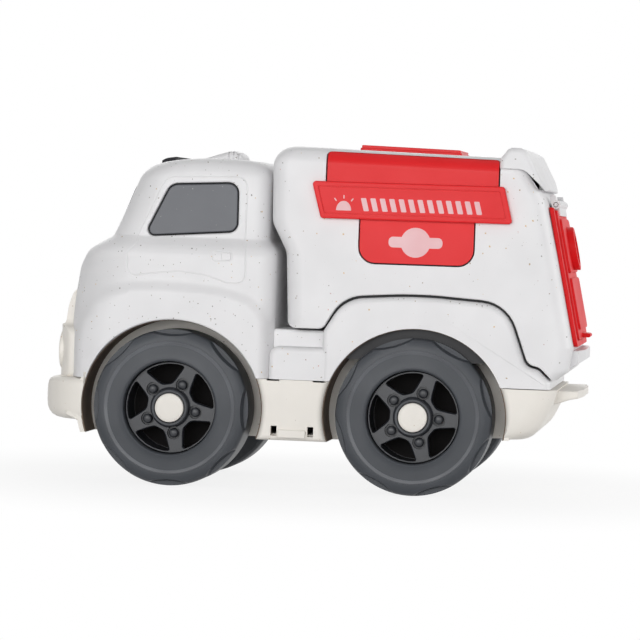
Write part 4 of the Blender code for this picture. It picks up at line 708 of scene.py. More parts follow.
def cab_moulding():
    """White moulding with hollow cab, deck, side pads and rear hump."""
    foot = SPLIT_Z - 0.003
    deck = block((-0.0080, -0.0390, foot), (0.0175, 0.0390, DECK_Z), edge=0.0010)
    hump = plate(grown(hump_corners(foot), -SEAM), -BOX_HALF, BOX_HALF, edge=0.0024, steps=6)
    pad = plate(oblong((-0.0075, foot), (0.0141, 0.0514), 0, 0, 0.0034, 0.0034),
                -BODY_HALF - 0.0008, BODY_HALF + 0.0008, edge=0.0022, steps=5)
    body = joined(cab_skin(), deck, hump, pad)
    hollow = joined(cab_skin(inset=WALL, fine=False),
                    block((-0.0120, -0.0366, 0.0300), (0.0190, 0.0366, DECK_Z - WALL)),
                    plate(grown(hump_corners(0.0310), -SEAM - WALL), WALL - BOX_HALF, BOX_HALF - WALL))
    cutters = [hollow, block((-0.12, -BEYOND, 0.02), (0.0790, BEYOND, SPLIT_Z)),
               block((0.0785, -BEYOND, 0.02), (0.12, BEYOND, 0.0375))]
    cutters += arch_cutter(AXLES[0][1]) + arch_cutter(AXLES[1][1]) + window_cutters()
    body = carved(body, *cutters)
    door = groove(on_cab(rounded(DOOR_LINE), 0.00012), 0.00038)
    handle = groove(on_cab(rounded(HANDLE), 0.00010), 0.00034)
    grip = plate(HANDLE_BLOCK, BODY_HALF - 0.001, BODY_HALF + 0.00030, edge=0.00022)
    body = carved(body, *both_sides(door), *both_sides(handle))
    body = joined(body, *both_sides(grip))
    piece("cab_moulding", body, WHITE, "cab_body")


def panes():
    """Dark panes, each a little below the white around it, with a black sheet behind: painted shadow in the gap round
    each pane.
    """
    parts, gap_shadows = [], []
    for corners, axis, face, lean in ((SIDE_WINDOW, "y", GLASS_HALF, SIDE_LEAN),
                                      (WINDSCREEN, "x", SCREEN_FOOT_X, FRONT_LEAN)):
        pane = plate(grown(corners, -MOUTH_GROWTH), face - 0.0034, face - 0.0007, axis=axis, edge=0.0004, rims="high")
        # painted shadow: a black sheet behind the gap round the pane
        gap_shadow = plate(grown(corners, 0.0012), face - 0.0036, face - 0.0027, axis=axis)
        for form, forms in ((moved(pane, lean), parts), (moved(gap_shadow, lean), gap_shadows)):
            forms += both_sides(form) if axis == "y" else [form]
    piece("cab_panes", together(*parts), PANE, "cab_glazing")
    piece("pane_gap_shadows", together(*gap_shadows), SHADOW, "cab_glazing")


def roof_z(x):
    """Height of the cab's roof at its middle."""
    return ROOF_Z - ROOF_CROWN * (x - ROOF_CREST_X) ** 2


# Along the roof wedge from its front: (share of its length, height, half width); the dips are its fine grooves
WEDGE = [(0.0, 0.0002, 0.0088), (0.10, 0.0006, 0.0093), (0.40, 0.0020, 0.0098), (0.60, 0.0029, 0.0100),
         (0.655, 0.00315, 0.0100), (0.670, 0.0027, 0.0097), (0.685, 0.00325, 0.0100), (0.765, 0.00335, 0.0100),
         (0.780, 0.0028, 0.0096), (0.795, 0.00325, 0.0099), (0.875, 0.0029, 0.0097), (0.890, 0.0023, 0.0092),
         (0.905, 0.0026, 0.0095), (0.955, 0.0019, 0.0090), (0.985, 0.0011, 0.0084), (1.0, 0.0002, 0.0076)]
# Across the wedge from foot to foot: (share of its half width, share of its height)
WEDGE_ROUND = [(-1.0, 0.0), (-1.0, 0.45), (-0.985, 0.68), (-0.94, 0.85), (-0.86, 0.95), (-0.74, 0.99), (-0.4, 1.0),
               (0.4, 1.0), (0.74, 0.99), (0.86, 0.95), (0.94, 0.85), (0.985, 0.68), (1.0, 0.45), (1.0, 0.0)]


def roof_dress():
    """The dark marker strip with its short rear bit, and the white wedge behind it."""
    strips = []
    for rear_x, front_x, high, spans in ((0.0541, 0.0593, 0.0016, ((-0.0200, 0.0200),)),
                                         (0.0526, 0.0534, 0.0011, ((-0.0200, -0.0150), (0.0150, 0.0200)))):
        xs = [rear_x + (front_x - rear_x) * step / 8 for step in range(9)]
        low = [(x, roof_z(x) - 0.0002) for x in xs]
        ease = [max(0.0, (x - front_x + 0.0025) / 0.0025) ** 2 for x in xs]
        top = [(x, roof_z(x) + high - 0.0007 * share) for x, share in zip(xs, ease)][::-1]
        strips += [slab(low + top, *span, edge=0.0003) for span in spans]
    piece("roof_marker_strip", together(*strips), STRIP, "roof_strip")
    rings = []
    for share, height, half in WEDGE:
        x = 0.0470 - 0.0160 * share
        low = roof_z(x) - 0.0004
        rings.append([(x, half * side_share, low + (height + 0.0004) * up) for side_share, up in WEDGE_ROUND])
    piece("roof_wedge", wrapped(rings), WHITE, "roof_fairing")


# Front end


def grille():
    """Cream grille: slots in its narrow upper part, two ringed lamps in the wider band below."""
    back_x = CAB_FRONT_X - 0.0050
    profile = rounded([
        (back_x, 0.0370, 0), (0.0950, 0.0370, 0.0010), (0.0955, 0.0440, 0.004), (0.0954, 0.0500, 0.003),
        (0.0942, 0.0556, 0.0015), (0.0912, 0.0564, 0.0010), (0.0905, 0.0630, 0.010), (0.0890, 0.0680, 0.0040),
        (back_x, 0.0714, 0)])
    face = rounded([
        (-0.0355, 0.0366, 0.003), (0.0355, 0.0366, 0.003), (0.0355, 0.0545, 0.005), (0.0290, 0.0560, 0.003),
        (0.0265, 0.0710, 0.005), (-0.0265, 0.0710, 0.005), (-0.0290, 0.0560, 0.003), (-0.0355, 0.0545, 0.005)])
    front = shared(slab(profile, -0.0355, 0.0355), slab(face, 0.080, 0.100, axis="x"))
    bow = [(0.0885, 0.0355, 0.003), (0.0918, 0.0312, 0.012), (0.0943, 0.0200, 0.030), (0.0955, 0.0060, 0.030)]
    plan = rounded([(0.0800, -0.0355, 0), *[(x, -y, radius) for x, y, radius in bow], *bow[::-1],
                    (0.0800, 0.0355, 0)])
    front = shared(front, slab(plan, 0.0300, 0.0720, axis="z"))
    slots = [plate(oblong((-0.0215, z), (0.0215, z + 0.0016), 0.0007), 0.0890, 0.097, axis="x", fillet_steps=4)
             for z in (0.0576, 0.0607, 0.0638, 0.0669)]
    front = carved(front, *slots)
    lamp = turned([(0.0, 0.0), (0.0072, 0.0), (0.0072, 0.0030), (0.0069, 0.0034), (0.0062, 0.0034), (0.0059, 0.0029),
                   (0.0058, 0.0022), (0.0052, 0.0027), (0.0036, 0.0034), (0.0018, 0.0038), (0.0, 0.0039)], 64)
    facing = Matrix.Rotation(math.radians(-90), 4, "Z")
    lamps = [moved(lamp, Matrix.Translation((0.0896, y, 0.0466)) @ facing) for y in (-0.0245, 0.0245)]
    piece("grille_panel", joined(front, *lamps), CREAM, "front_grille")


# The bumper from its foot up: (height, front x, half width)
BUMPER_LEVELS = (
    (0.0222, 0.0925, 0.0410), (0.0226, 0.0946, 0.0421), (0.0234, 0.0961, 0.0430), (0.0246, 0.0972, 0.0435),
    (0.0262, 0.0979, 0.0438), (0.0285, 0.0982, 0.0438), (0.0310, 0.0982, 0.0438), (0.0337, 0.0981, 0.0438),
    (0.0353, 0.0978, 0.0436), (0.0363, 0.0971, 0.0432), (0.0369, 0.0960, 0.0424), (0.0372, 0.0944, 0.0412),
    (0.0373, 0.0915, 0.0398))


def bumper():
    """Cream bumper with a shallow slot for a plate and a lobe below it at each side."""
    rear_x = AXLES[0][1] + ARCH_REACH - 0.0030
    rings = []
    for z, front_x, half in BUMPER_LEVELS:
        radius = min(0.0200, front_x - rear_x - 0.0015)
        ring = level_ring(rear_x, front_x, half, 0.0010, radius, corner=10, along=4)
        bow = [0.0018 * (y / half) ** 2 * (x - rear_x) / (front_x - rear_x) for x, y, _, _ in ring]
        rings.append([(x - back, y, z) for (x, y, _, _), back in zip(ring, bow)])
    slot = plate(oblong((-0.0120, 0.0262), (0.0120, 0.0318), 0.001), 0.0975, 0.0990, axis="x")
    lobe = [(0.0790, 0.0252, 0), (0.0790, 0.0214, 0), (0.0815, 0.0210, 0.0010), (0.0830, 0.0216, 0.002),
            (0.0845, 0.0226, 0.003), (0.0875, 0.0238, 0), (0.0875, 0.0252, 0)]
    bar = joined(wrapped(rings), *both_sides(plate(lobe, 0.0260, 0.0424, edge=0.0005)))
    piece("bumper_block", carved(bar, slot, *arch_cutter(AXLES[0][1])), CREAM, "front_bumper")


# Chassis


def tray_outline():
    """The side view of the tray; its top is cut level later."""
    front_x = AXLES[0][1] + ARCH_REACH - 0.0004
    top = SPLIT_Z + 0.0016
    return [(front_x, top, 0), (-0.0700, top, 0), (-0.0705, 0.0208, 0), (-0.0640, 0.0205, 0),
            (-0.0620, TRAY_FOOT_Z, 0.001), (front_x - 0.004, TRAY_FOOT_Z, 0.002), (front_x, 0.0215, 0.002)]


# The rear quarters from their foot up: (height, rear x, half width)
QUARTER_LEVELS = (
    (0.0212, -0.0762, 0.0405), (0.0213, -0.0772, 0.0416), (0.0218, -0.0788, 0.0427), (0.0228, -0.0806, 0.0437),
    (0.0243, -0.0822, 0.0443), (0.0262, -0.0835, 0.0446), (0.0285, -0.0847, 0.0447), (0.0310, -0.0859, 0.0447),
    (0.0335, -0.0870, 0.0447), (0.0365, -0.0880, 0.0447), (0.0393, -0.0886, 0.0447))


def well_space(axle_x, side):
    """The air in a wheel well, its mouth rounded into the skirt."""
    mouth = [(ARCH_RADIUS + MOUTH_ROUND * (1 - math.cos(a)), TRAY_HALF - MOUTH_ROUND * (1 - math.sin(a)))
             for a in [math.pi / 2 * step / 6 for step in range(7)]]
    form = turned([(0.0, WELL_Y), (ARCH_RADIUS, WELL_Y), *mouth, (mouth[-1][0], BEYOND), (0.0, BEYOND)], 128)
    left = moved(form, arch_place(axle_x))
    return left if side > 0 else moved(left, MIRROR)


def tail_bow(half):
    """The plan of a part at the tail: its rear edge is bowed."""
    return rounded([(-0.0600, -half, 0), (-0.0600, half, 0), (-0.0955, half, 0.002), (-0.0972, half * 0.5, 0.060),
                    (-0.0972, -half * 0.5, 0.060), (-0.0955, -half, 0.002)])


def tail_cut():
    """The air below the tail, where the tray ends higher."""
    return block((-0.1000, -BEYOND, -0.0200), (-0.0630, BEYOND, 0.0209))


def chassis_tray():
    """Cream tray with wheel wells, skirts with clip windows and tab, and the rear bumper bar."""
    inner, top = TRAY_HALF - TRAY_WALL, SPLIT_Z - 0.00012
    tray = plate(tray_outline(), -TRAY_HALF, TRAY_HALF, edge=0.0018, steps=5)
    rings = []
    for z, rear_x, half in QUARTER_LEVELS:
        ring = level_ring(rear_x, -0.0500, half, 0.0085, 0.001, corner=12, along=4)
        rings.append([(x, y, z) for x, y, _, _ in ring])
    bar = rounded([
        (-0.0800, 0.0300, 0), (-0.0800, 0.0388, 0), (-0.0982, 0.0389, 0.0007), (-0.0982, 0.0366, 0.0008),
        (-0.0930, 0.0357, 0.005), (-0.0868, 0.0335, 0.004), (-0.0835, 0.0300, 0)][::-1])
    bar = shared(slab(bar, -0.0300, 0.0300, edge=0.0007), slab(tail_bow(0.0310), 0.0200, 0.0500, axis="z"))
    tray = joined(tray, wrapped(rings), bar)
    hollow = [(x, 0.06 if z > 0.036 else z, radius) for x, z, radius in grown(tray_outline(), -TRAY_WALL)]
    back = plate([(-0.0840, 0.0330, 0.004), (-0.0780, 0.0236, 0.006), (-0.0600, 0.0236, 0), (-0.0600, 0.06, 0),
                  (-0.0860, 0.06, 0)], 0.006 - inner, inner - 0.006)
    tray = carved(tray, plate(hollow, -inner, inner), back)
    shells, spaces = [], []
    for _, axle_x, _, _ in AXLES:
        for _, side in SIDES:
            low, high = across(side, WELL_Y - 0.0018, inner + 0.0003)
            shell = moved(rod(ARCH_RADIUS + 0.0018, (0, low, 0), (0, high, 0), 96), arch_place(axle_x))
            below = block((axle_x - 0.04, -BEYOND, -0.02), (axle_x + 0.04, BEYOND, TRAY_FOOT_Z))
            shells.append(carved(shell, below, tail_cut()))
            spaces.append(well_space(axle_x, side))
        saddle = block((axle_x - 0.0070, -0.0200, TRAY_FOOT_Z + 0.0005), (axle_x + 0.0070, 0.0200, TYRE_RADIUS))
        shells.append(saddle)
        spaces.append(rod(0.00215, (axle_x, -0.03, TYRE_RADIUS), (axle_x, 0.03, TYRE_RADIUS), 24))
        for low, high in ((-0.0175, -0.0012), (0.0012, 0.0175)):
            spaces.append(block((axle_x - 0.0046, low, TRAY_FOOT_Z - 0.001), (axle_x + 0.0046, high, 0.0235),
                                edge=0.0008))
    tray = carved(joined(tray, *shells), *spaces)
    tabs, holes = [], []
    for _, side in SIDES:
        low, high = across(side, inner + 0.0005, TRAY_HALF + 0.0011)
        tabs.append(block((-0.0001, low, 0.0188), (0.0101, high, 0.0217), edge=0.00045))
        low, high = across(side, inner - 0.002, TRAY_HALF + 0.002)
        for x in (0.0104, -0.0028):
            holes.append(block((x, low, 0.0194), (x + 0.0022, high, 0.0230)))
        low, high = across(side, BODY_HALF - WALL - 0.0003, BEYOND)
        holes.append(block((-0.1, low, top), (0.1, high, 0.08)))
        for x in (0.0100, -0.0066):
            holes.append(block((x, low, top - 0.0005), (x + 0.0046, high, top + 0.001)))
    for x, y in SCREWS:
        holes.append(rod(0.0016, (x, y, 0.010), (x, y, 0.0225), 24))
        holes.append(rod(0.0030, (x, y, 0.010), (x, y, TRAY_FOOT_Z + 0.0012), 32))
    tray = carved(joined(tray, *tabs), *holes)
    piece("chassis_tray", tray, CREAM, "chassis")


def well_shade_sheets():
    """Painted shade: a dim brown skin in the four wheel wells, where the cream wells fall into shadow."""
    skins = []
    for _, axle_x, _, _ in AXLES:
        near, far = ARCH_RADIUS - 0.0003, ARCH_RADIUS + 0.0002
        ring = turned([(near, WELL_Y + 0.0002), (near, 0.0430), (far, 0.0430), (far, WELL_Y + 0.0002)], 128)
        below = block((axle_x - 0.05, -BEYOND, -0.02), (axle_x + 0.05, BEYOND, TRAY_FOOT_Z + 0.0003))
        skins += both_sides(carved(moved(ring, arch_place(axle_x)), below, tail_cut()))
    piece("well_shade_sheets", together(*skins), WELL_SHADE, "chassis")


def base_screws():
    """Pan heads with a cross recess, in their sinks under the chassis."""
    head = turned([(0.0, 0.0), (0.0019, 0.0), (0.0025, 0.0003), (0.0027, 0.0008), (0.0027, 0.0012), (0.0013, 0.0012),
                   (0.0013, 0.0080), (0.0006, 0.0095), (0.0, 0.0097)], 40)
    head = carved(head, block((-0.0016, -0.0005, -0.0003), (0.0016, 0.0005, 0.0003)),
                  block((-0.0003, -0.0005, -0.0016), (0.0003, 0.0005, 0.0016)))
    for number, (x, y) in enumerate(SCREWS, 1):
        place = Matrix.Translation((x, y, TRAY_FOOT_Z - 0.0002)) @ Matrix.Rotation(math.radians(90), 4, "X")
        turn = Matrix.Rotation(0.6 * number, 4, "Y")
        piece(f"cross_screw_{number}", moved(head, place @ turn), STEEL, f"base_screw_{number}")


# Wheels, built round their own centre with the outer face towards +Y


FACE = TYRE_WIDTH / 2
DRUM_FLOOR = -FACE + 0.0022
BOLT_CIRCLE = 0.00915


def tyre_form():
    """Solid tyre: lipped bore, sloping shoulder, and eight scoops in its outer corner; its fine ridge is a ring of
    its own.
    """
    back = -FACE
    profile = [
        (BORE, back + 0.0005), (BORE, FACE - 0.0010), (BORE + 0.0001, FACE - 0.0005), (BORE + 0.0004, FACE - 0.00015),
        (BORE + 0.0008, FACE), (BORE + 0.0012, FACE - 0.00015), (0.0195, FACE - 0.0004), (0.0230, FACE - 0.0005),
        (0.0237, FACE - 0.0005), (0.0250, FACE - 0.0007), (0.0264, FACE - 0.0011), (0.0273, FACE - 0.0018),
        (0.0278, FACE - 0.0027), (TYRE_RADIUS, FACE - 0.0038),
        (TYRE_RADIUS, 0.0), (TYRE_RADIUS, back + 0.0016), (TYRE_RADIUS - 0.0004, back + 0.0006),
        (TYRE_RADIUS - 0.0012, back), (BORE + 0.0005, back)]
    tyre = turned(profile, 160, crease=50.0)
    scoop = turned([(0.0, -0.0035), (0.0292, -0.0035), (0.0298, -0.0015), (0.0300, 0.0005), (0.0300, 0.0030),
                    (0.0, 0.0030)], 160)
    place = Matrix.Translation((TYRE_RADIUS + 0.0300 - 0.0025, FACE - 0.0006, 0))
    scoops = [moved(scoop, Matrix.Rotation(2 * math.pi * index / SCOOPS, 4, "Y") @ place) for index in range(SCOOPS)]
    return carved(tyre, *scoops, crease=28.0)


def spoke_window(angle, growth):
    """Corners of the opening between two spokes, with its rounded foot towards the hub."""
    outer = BORE - 0.0009 + growth * 0.2
    half = math.pi / SPOKES
    edge = math.asin((0.00245 - growth) / outer)
    foot = 0.0086 - growth
    points = []
    for share in (-1.0, -0.6, -0.2, 0.2, 0.6, 1.0):
        turn = (half - edge) * share
        points.append((outer * math.cos(turn), outer * math.sin(turn), 0.0008 if abs(share) == 1.0 else 0.0))
    reach = 0.0030 + growth
    points += [(foot + 0.0012, reach, 0.0022), (foot, reach * 0.55, 0.0030), (foot, -reach * 0.55, 0.0030),
               (foot + 0.0012, -reach, 0.0022)]
    return swung(points, angle)


def rim_form():
    """Recessed disc with five windows, bolt heads in ring recesses, a raised hub ring and a deep sleeve."""
    front = FACE - 0.0034
    back = front - 0.0026
    outer = BORE - 0.0003
    sleeve = WELL_Y + 0.0003 - WHEEL_MIDDLE_Y
    profile = [
        (0.0053, FACE - 0.0011), (0.0056, FACE - 0.0008), (0.0063, FACE - 0.0008), (0.0067, FACE - 0.0012),
        (0.0069, front + 0.0004), (0.0073, front), (outer - 0.0002, front), (outer, front - 0.0002),
        (outer, -FACE + 0.0010), (0.0044, -FACE + 0.0010), (0.0044, sleeve), (0.00205, sleeve),
        (0.00205, front - 0.0006), (0.0053, front - 0.0006)]
    drum = turned([(0.0054, DRUM_FLOOR), (outer - 0.0005, DRUM_FLOOR), (outer - 0.0005, back), (0.0054, back)], 120)
    rim = carved(turned(profile, 120, crease=40.0), drum, crease=40.0)
    ring = turned([(0.0016, -0.0011), (0.0023, -0.0011), (0.00245, 0.0006), (0.0016, 0.0006)], 40)
    bolt = turned([(0.0, -0.0014), (0.0017, -0.0014), (0.0017, 0.0006), (0.0015, 0.0010), (0.0011, 0.0013),
                   (0.0006, 0.00145), (0.0, 0.0015)], 40)
    windows, bolts, rings = [], [], []
    for index in range(SPOKES):
        angle = 2 * math.pi * (index + 0.5) / SPOKES
        shape = [[TURNS["y"] @ Vector((u, v, along)) for u, v in rounded(spoke_window(angle, growth), steps=5)]
                 for along, growth in ((back - 0.002, 0.0), (front - 0.0006, 0.0), (front - 0.00025, 0.0001),
                                       (front + 0.00005, 0.0004), (front + 0.0004, 0.0009))]
        windows.append(wrapped(shape))
        turn = 2 * math.pi * index / SPOKES
        place = Matrix.Translation((BOLT_CIRCLE * math.cos(turn), front, BOLT_CIRCLE * math.sin(turn)))
        rings.append(moved(ring, place))
        bolts.append(moved(bolt, place))
    return joined(carved(rim, *windows, *rings, crease=30.0), *bolts, crease=30.0)


def cap_form():
    """The low domed hub cap."""
    low = FACE - 0.0038
    return turned([(0.0, low), (0.0052, low), (0.0052, FACE - 0.0008), (0.00505, FACE - 0.0004),
                   (0.0047, FACE - 0.00018), (0.0037, FACE - 0.00008), (0.0018, FACE - 0.00003),
                   (0.0, FACE - 0.00003)], 80)


def highlight_ring_form():
    """The tyre's ridge and the edge round the hub cap in a lighter grey: a painted highlight on both, and on the
    ridge also its wear.
    """
    ridge = turned([(0.0224, FACE - 0.0009), (0.0224, FACE - 0.00045), (0.0228, FACE - 0.0003),
                    (0.0234, FACE - 0.00012), (0.0237, FACE - 0.0003), (0.0238, FACE - 0.0009)], 160)
    edge = turned([(0.0059, FACE - 0.0012), (0.0059, FACE - 0.00065), (0.0061, FACE - 0.0005),
                   (0.0063, FACE - 0.00065), (0.0063, FACE - 0.0012)], 80)
    return together(ridge, edge)


def window_shade_form():
    """The dark floor behind the rim's windows: painted shade where the hollow wheel looks black."""
    low, high = DRUM_FLOOR + 0.0001, DRUM_FLOOR + 0.0006
    return turned([(0.0056, low), (BORE - 0.0010, low), (BORE - 0.0010, high), (0.0056, high)], 80)


def wheels():
    """Four wheels of five pieces; each is turned as the photograph shows it."""
    # The drum is painted shade behind the rim's windows; the rings are a painted highlight, on the tyre's ridge also
    # its wear.
    forms = (("drum", window_shade_form(), WINDOW_SHADE), ("rings", highlight_ring_form(), HIGHLIGHT_AND_WEAR), ("tyre", tyre_form(), TYRE),
             ("rim", rim_form(), RIM), ("hub_cap", cap_form(), CREAM))
    for end, axle_x, tyre_turn, rim_turn in AXLES:
        for side_name, side in SIDES:
            facing = Matrix.Rotation(0.0 if side > 0 else math.pi, 4, "Z")
            place = Matrix.Translation((axle_x, side * WHEEL_MIDDLE_Y, TYRE_RADIUS))
            for kind, form, material in forms:
                turn = {"tyre": tyre_turn, "rim": rim_turn}.get(kind, 40.0 * side + axle_x * 900)
                stands_for = {"drum": "rim", "rings": "tyre"}.get(kind, kind)
                spin = Matrix.Rotation(math.radians((180.0 if side > 0 else 0.0) - turn), 4, "Y")
                piece(f"{end}_{side_name}_{kind}", moved(form, place @ spin @ facing), material,
                      f"{stands_for}_{end}_{side_name}", body=f"{end}_axle_set")


# Box body


def box_rear_x(height):
    """Where the leaning rear face is at a height."""
    return BOX_FOOT_X + BOX_LEAN * (height - BOX_LEAN_Z)


def roof_drop(x):
    """The box roof falls towards the rear."""
    return ROOF_FALL * min(0.0, x - ROOF_BEND_X)


BOX_FOOT_Z = 0.0430
BOX_FRONT = rounded([
    (BOX_FRONT_X - 0.0078, BOX_FOOT_Z, 0), (BOX_FRONT_X - 0.0070, 0.0640, 0.02),
    (BOX_FRONT_X - 0.0060, 0.0850, 0.008), (BOX_FRONT_X - 0.0006, 0.0955, 0.008),
    (BOX_FRONT_X, BOX_ROOF_Z, 0.0075), (0.0, BOX_ROOF_Z, 0)],
    closed=False, steps=10)
BOX_REAR = rounded([
    (-0.0885, BOX_FOOT_Z, 0), (-0.0925, 0.0462, 0.003), (box_rear_x(0.0545), 0.0545, 0.003),
    (box_rear_x(0.108), 0.108, 0.010), (-0.0735, BOX_ROOF_Z, 0.010), (-0.05, BOX_ROOF_Z, 0)], closed=False, steps=10)
BOX_SIDE = rounded([(BOX_HALF, BOX_FOOT_Z, 0), (BOX_HALF, BOX_ROOF_Z, 0.0062), (0.0, BOX_ROOF_Z, 0)],
                   closed=False, steps=10)


def box_skin(inset=0.0, fine=True):
    """The box's outer form, or the same form drawn inwards."""
    heights = levels(BOX_FOOT_Z, BOX_ROOF_Z, 0.0030 if fine else 0.008, BOX_FRONT, BOX_REAR, BOX_SIDE)
    rings = []
    for height in heights:
        share = max(0.0, (height - 0.085) / (BOX_ROOF_Z - 0.085))
        ring = level_ring(
            at_height(BOX_REAR, height) + inset, at_height(BOX_FRONT, height) - inset,
            at_height(BOX_SIDE, height) - inset, max(0.0055 - inset, 0.001), max(0.0065 - inset, 0.001),
            corner=10 if fine else 4, along=24 if fine else 4)
        rings.append([(x, y, height - inset * share + share * roof_drop(x)) for x, y, _, _ in ring])
    last = rings[-1]
    rings += [[(x, y * share, z) for x, y, z in last] for share in (0.5, 0.0)]
    return wrapped(rings)


def notch_corners():
    """What the box leaves free below: the shelf behind the cab, the rear hump and the tail."""
    hump = [corner for corner in hump_corners() if corner[1] > DECK_Z or corner[0] < -0.05]
    leg_z = DECK_Z + 0.0006
    return [(0.0300, 0.030, 0), (0.0300, 0.0660, 0), (0.0092, 0.0660, 0.0), (0.0086, leg_z, 0.0046),
            (-0.0048, leg_z, 0.0030), *hump[:-1], (-0.0895, 0.030, 0)]


# The side panel's outline: a wide bar over the roof edge, and a tab below it
TEE = [(-0.0048, 0.12145, 0.0012), (-0.0658, 0.1201, 0.0012), (-0.0658, 0.1030, 0), (-0.0577, 0.1030, 0),
       (-0.0577, 0.0823, 0.0055), (-0.0172, 0.0823, 0.0055), (-0.0172, 0.1030, 0), (-0.0048, 0.1030, 0)]
TEE_DEPTH_Y = 0.0345


def cargo_box():
    """White hollow box: wrapped side openings, rear doorway and tail ledge."""
    ledge = rounded([
        (-0.0900, 0.0464, 0), (-0.0925, 0.0464, 0), (-0.0950, 0.0484, 0.003), (-0.0982, 0.0504, 0.0006),
        (-0.0982, 0.0534, 0.0006), (-0.0900, 0.0534, 0)][::-1])
    ledge = shared(slab(ledge, -0.0330, 0.0330, edge=0.0005), slab(tail_bow(0.0340), 0.0400, 0.0600, axis="z"))
    box = joined(box_skin(), ledge)
    lip = ((0.004, 0.00052), (0.0, 0.00052), (-0.00016, 0.00024), (-0.00042, 0.00007), (-0.0008, 0.0))
    stages = [(-BOX_HALF - along, growth) for along, growth in lip]
    notch = funnel(notch_corners(), stages + [(-along, growth) for along, growth in reversed(stages)])
    door_way = plate(oblong((-0.0235, 0.0615), (0.0235, 0.1000), 0.003), -0.11, -0.07, axis="x")
    recess = [(x, z - (PANEL_GAP if z > 0.12 else 0.0), radius) for x, z, radius in grown(TEE, PANEL_GAP)]
    tees = [plate(recess, *across(side, TEE_DEPTH_Y - PANEL_GAP, BEYOND)) for _, side in SIDES]
    box = carved(box, box_skin(inset=BOX_WALL, fine=False), notch, door_way, *tees)
    piece("box_moulding", box, WHITE, "cargo_box")


def seam_shadow_plates():
    """Dark plates behind the seams round the rear hump and the side panels: painted shadow where the narrow gaps look
    black.
    """
    hump = plate(grown(hump_corners(0.0500), 0.0022), 0.0406, 0.0416)
    tee = [(x, min(z, 0.1165), radius) for x, z, radius in grown(TEE, 0.0018)]
    hump = carved(hump, block((-0.0100, -BEYOND, 0.0400), (0.0500, BEYOND, 0.0588)))
    plates = joined(hump, plate(tee, 0.0407, 0.0417))
    piece("seam_shadow_plates", together(*both_sides(plates)), SHADOW, "cargo_box")


def side_panel(side_name, side):
    """Red panel in the box's opening, which follows the box over the roof edge."""
    shell = carved(box_skin(inset=PANEL_INSET), box_skin(inset=BOX_WALL - 0.0002))
    panel = shared(plate(TEE, *across(side, TEE_DEPTH_Y, BEYOND)), shell)
    piece(f"tee_panel_{side_name}", panel, RED, f"side_panel_{side_name}")


SIGN = [(-0.0714, 0.0975, 0.0012), (-0.0032, 0.0975, 0.0012), (0.0004, 0.1107, 0.0012), (-0.0681, 0.1107, 0.0012)]
SIGN_SEAT = BOX_HALF + 0.0001  # clear of the panel behind it
SIGN_FACE = BOX_HALF + 0.0024
FIELD_DEPTH = 0.00035
PRINT_DEPTH = 0.00018
DOT_X = -0.0113
MARK_FOOT_Z = 0.1005
MARK_HEIGHT = 0.0046


def sign_board(side_name, side):
    """Slanted red board with a raised border, a fine channel inside it and plain pale marks on its field."""
    mirror = Matrix.Identity(4) if side > 0 else MIRROR
    field = SIGN_FACE - FIELD_DEPTH
    stages = ((SIGN_SEAT, 0.0), (SIGN_FACE - 0.0006, 0.0), (SIGN_FACE - 0.00032, 0.00008),
              (SIGN_FACE - 0.00012, 0.0002), (SIGN_FACE - 0.00003, 0.0004), (SIGN_FACE, 0.0006),
              (SIGN_FACE, 0.00165), (SIGN_FACE - 0.0007, 0.0017), (SIGN_FACE - 0.0007, 0.0020),
              (field, 0.00205), (field, 0.0030))
    rings = []
    for along, inset in stages:
        corners = [(x, z, max(radius, 0.0004)) for x, z, radius in grown(SIGN, -inset)]
        rings.append([(x, along, z) for x, z in rounded(corners)])
    board = wrapped(rings)
    piece(f"slanted_board_{side_name}", moved(board, mirror), RED, f"sign_board_{side_name}")
    base = field - 0.0001
    top_z = MARK_FOOT_Z + MARK_HEIGHT
    marks = []
    for index in range(13):
        x = -0.0185 - 0.00335 * index
        bar = [(x - 0.0019, MARK_FOOT_Z, 0.0003), (x, MARK_FOOT_Z, 0.0003), (x + 0.0012, top_z, 0.0003),
               (x - 0.0007, top_z, 0.0003)]
        marks.append(plate(bar, base, base + PRINT_DEPTH, fillet_steps=3))
    arc = [math.pi * step / 16 for step in range(17)]
    dot = [(DOT_X + 0.0027 * math.cos(turn), MARK_FOOT_Z + 0.0034 * math.sin(turn)) for turn in arc]
    marks.append(slab(dot, base, base + PRINT_DEPTH))
    for turn in (-38.0, 0.0, 38.0):
        ray = swung(oblong((-0.00022, 0.0042), (0.00022, 0.0055), 0.0002), math.radians(turn))
        ray = [(DOT_X + x, MARK_FOOT_Z + z, radius) for x, z, radius in ray]
        marks.append(plate(ray, base, base + PRINT_DEPTH, fillet_steps=2))
    seat = BOX_HALF - PANEL_INSET - 0.0001
    disc = slab(circle(-0.0371, 0.0899, 0.0053, 48), seat, seat + PRINT_DEPTH)
    band = plate(oblong((-0.0467, 0.0880), (-0.0275, 0.0918), 0.0016), seat, seat + PRINT_DEPTH)
    piece(f"pale_print_{side_name}", moved(together(*marks, joined(disc, band)), mirror), PRINT,
          f"sign_board_{side_name}")


def roof_pad():
    """Red pad of two steps that leans with the roof."""
    corners = oblong((-0.0500, -0.0170), (-0.0130, 0.0170), 0.001)
    lower = plate(corners, -0.0002, 0.0013, axis="z", edge=0.00035)
    upper = plate(grown(corners, -0.0005), 0.0008, 0.0023, axis="z", edge=0.00035)
    pad = joined(lower, upper)
    lean = shear(2, 0, ROOF_FALL, ROOF_BEND_X)
    piece("roof_pad_red", moved(pad, Matrix.Translation((0, 0, BOX_ROOF_Z)) @ lean), RED, "roof_pad")


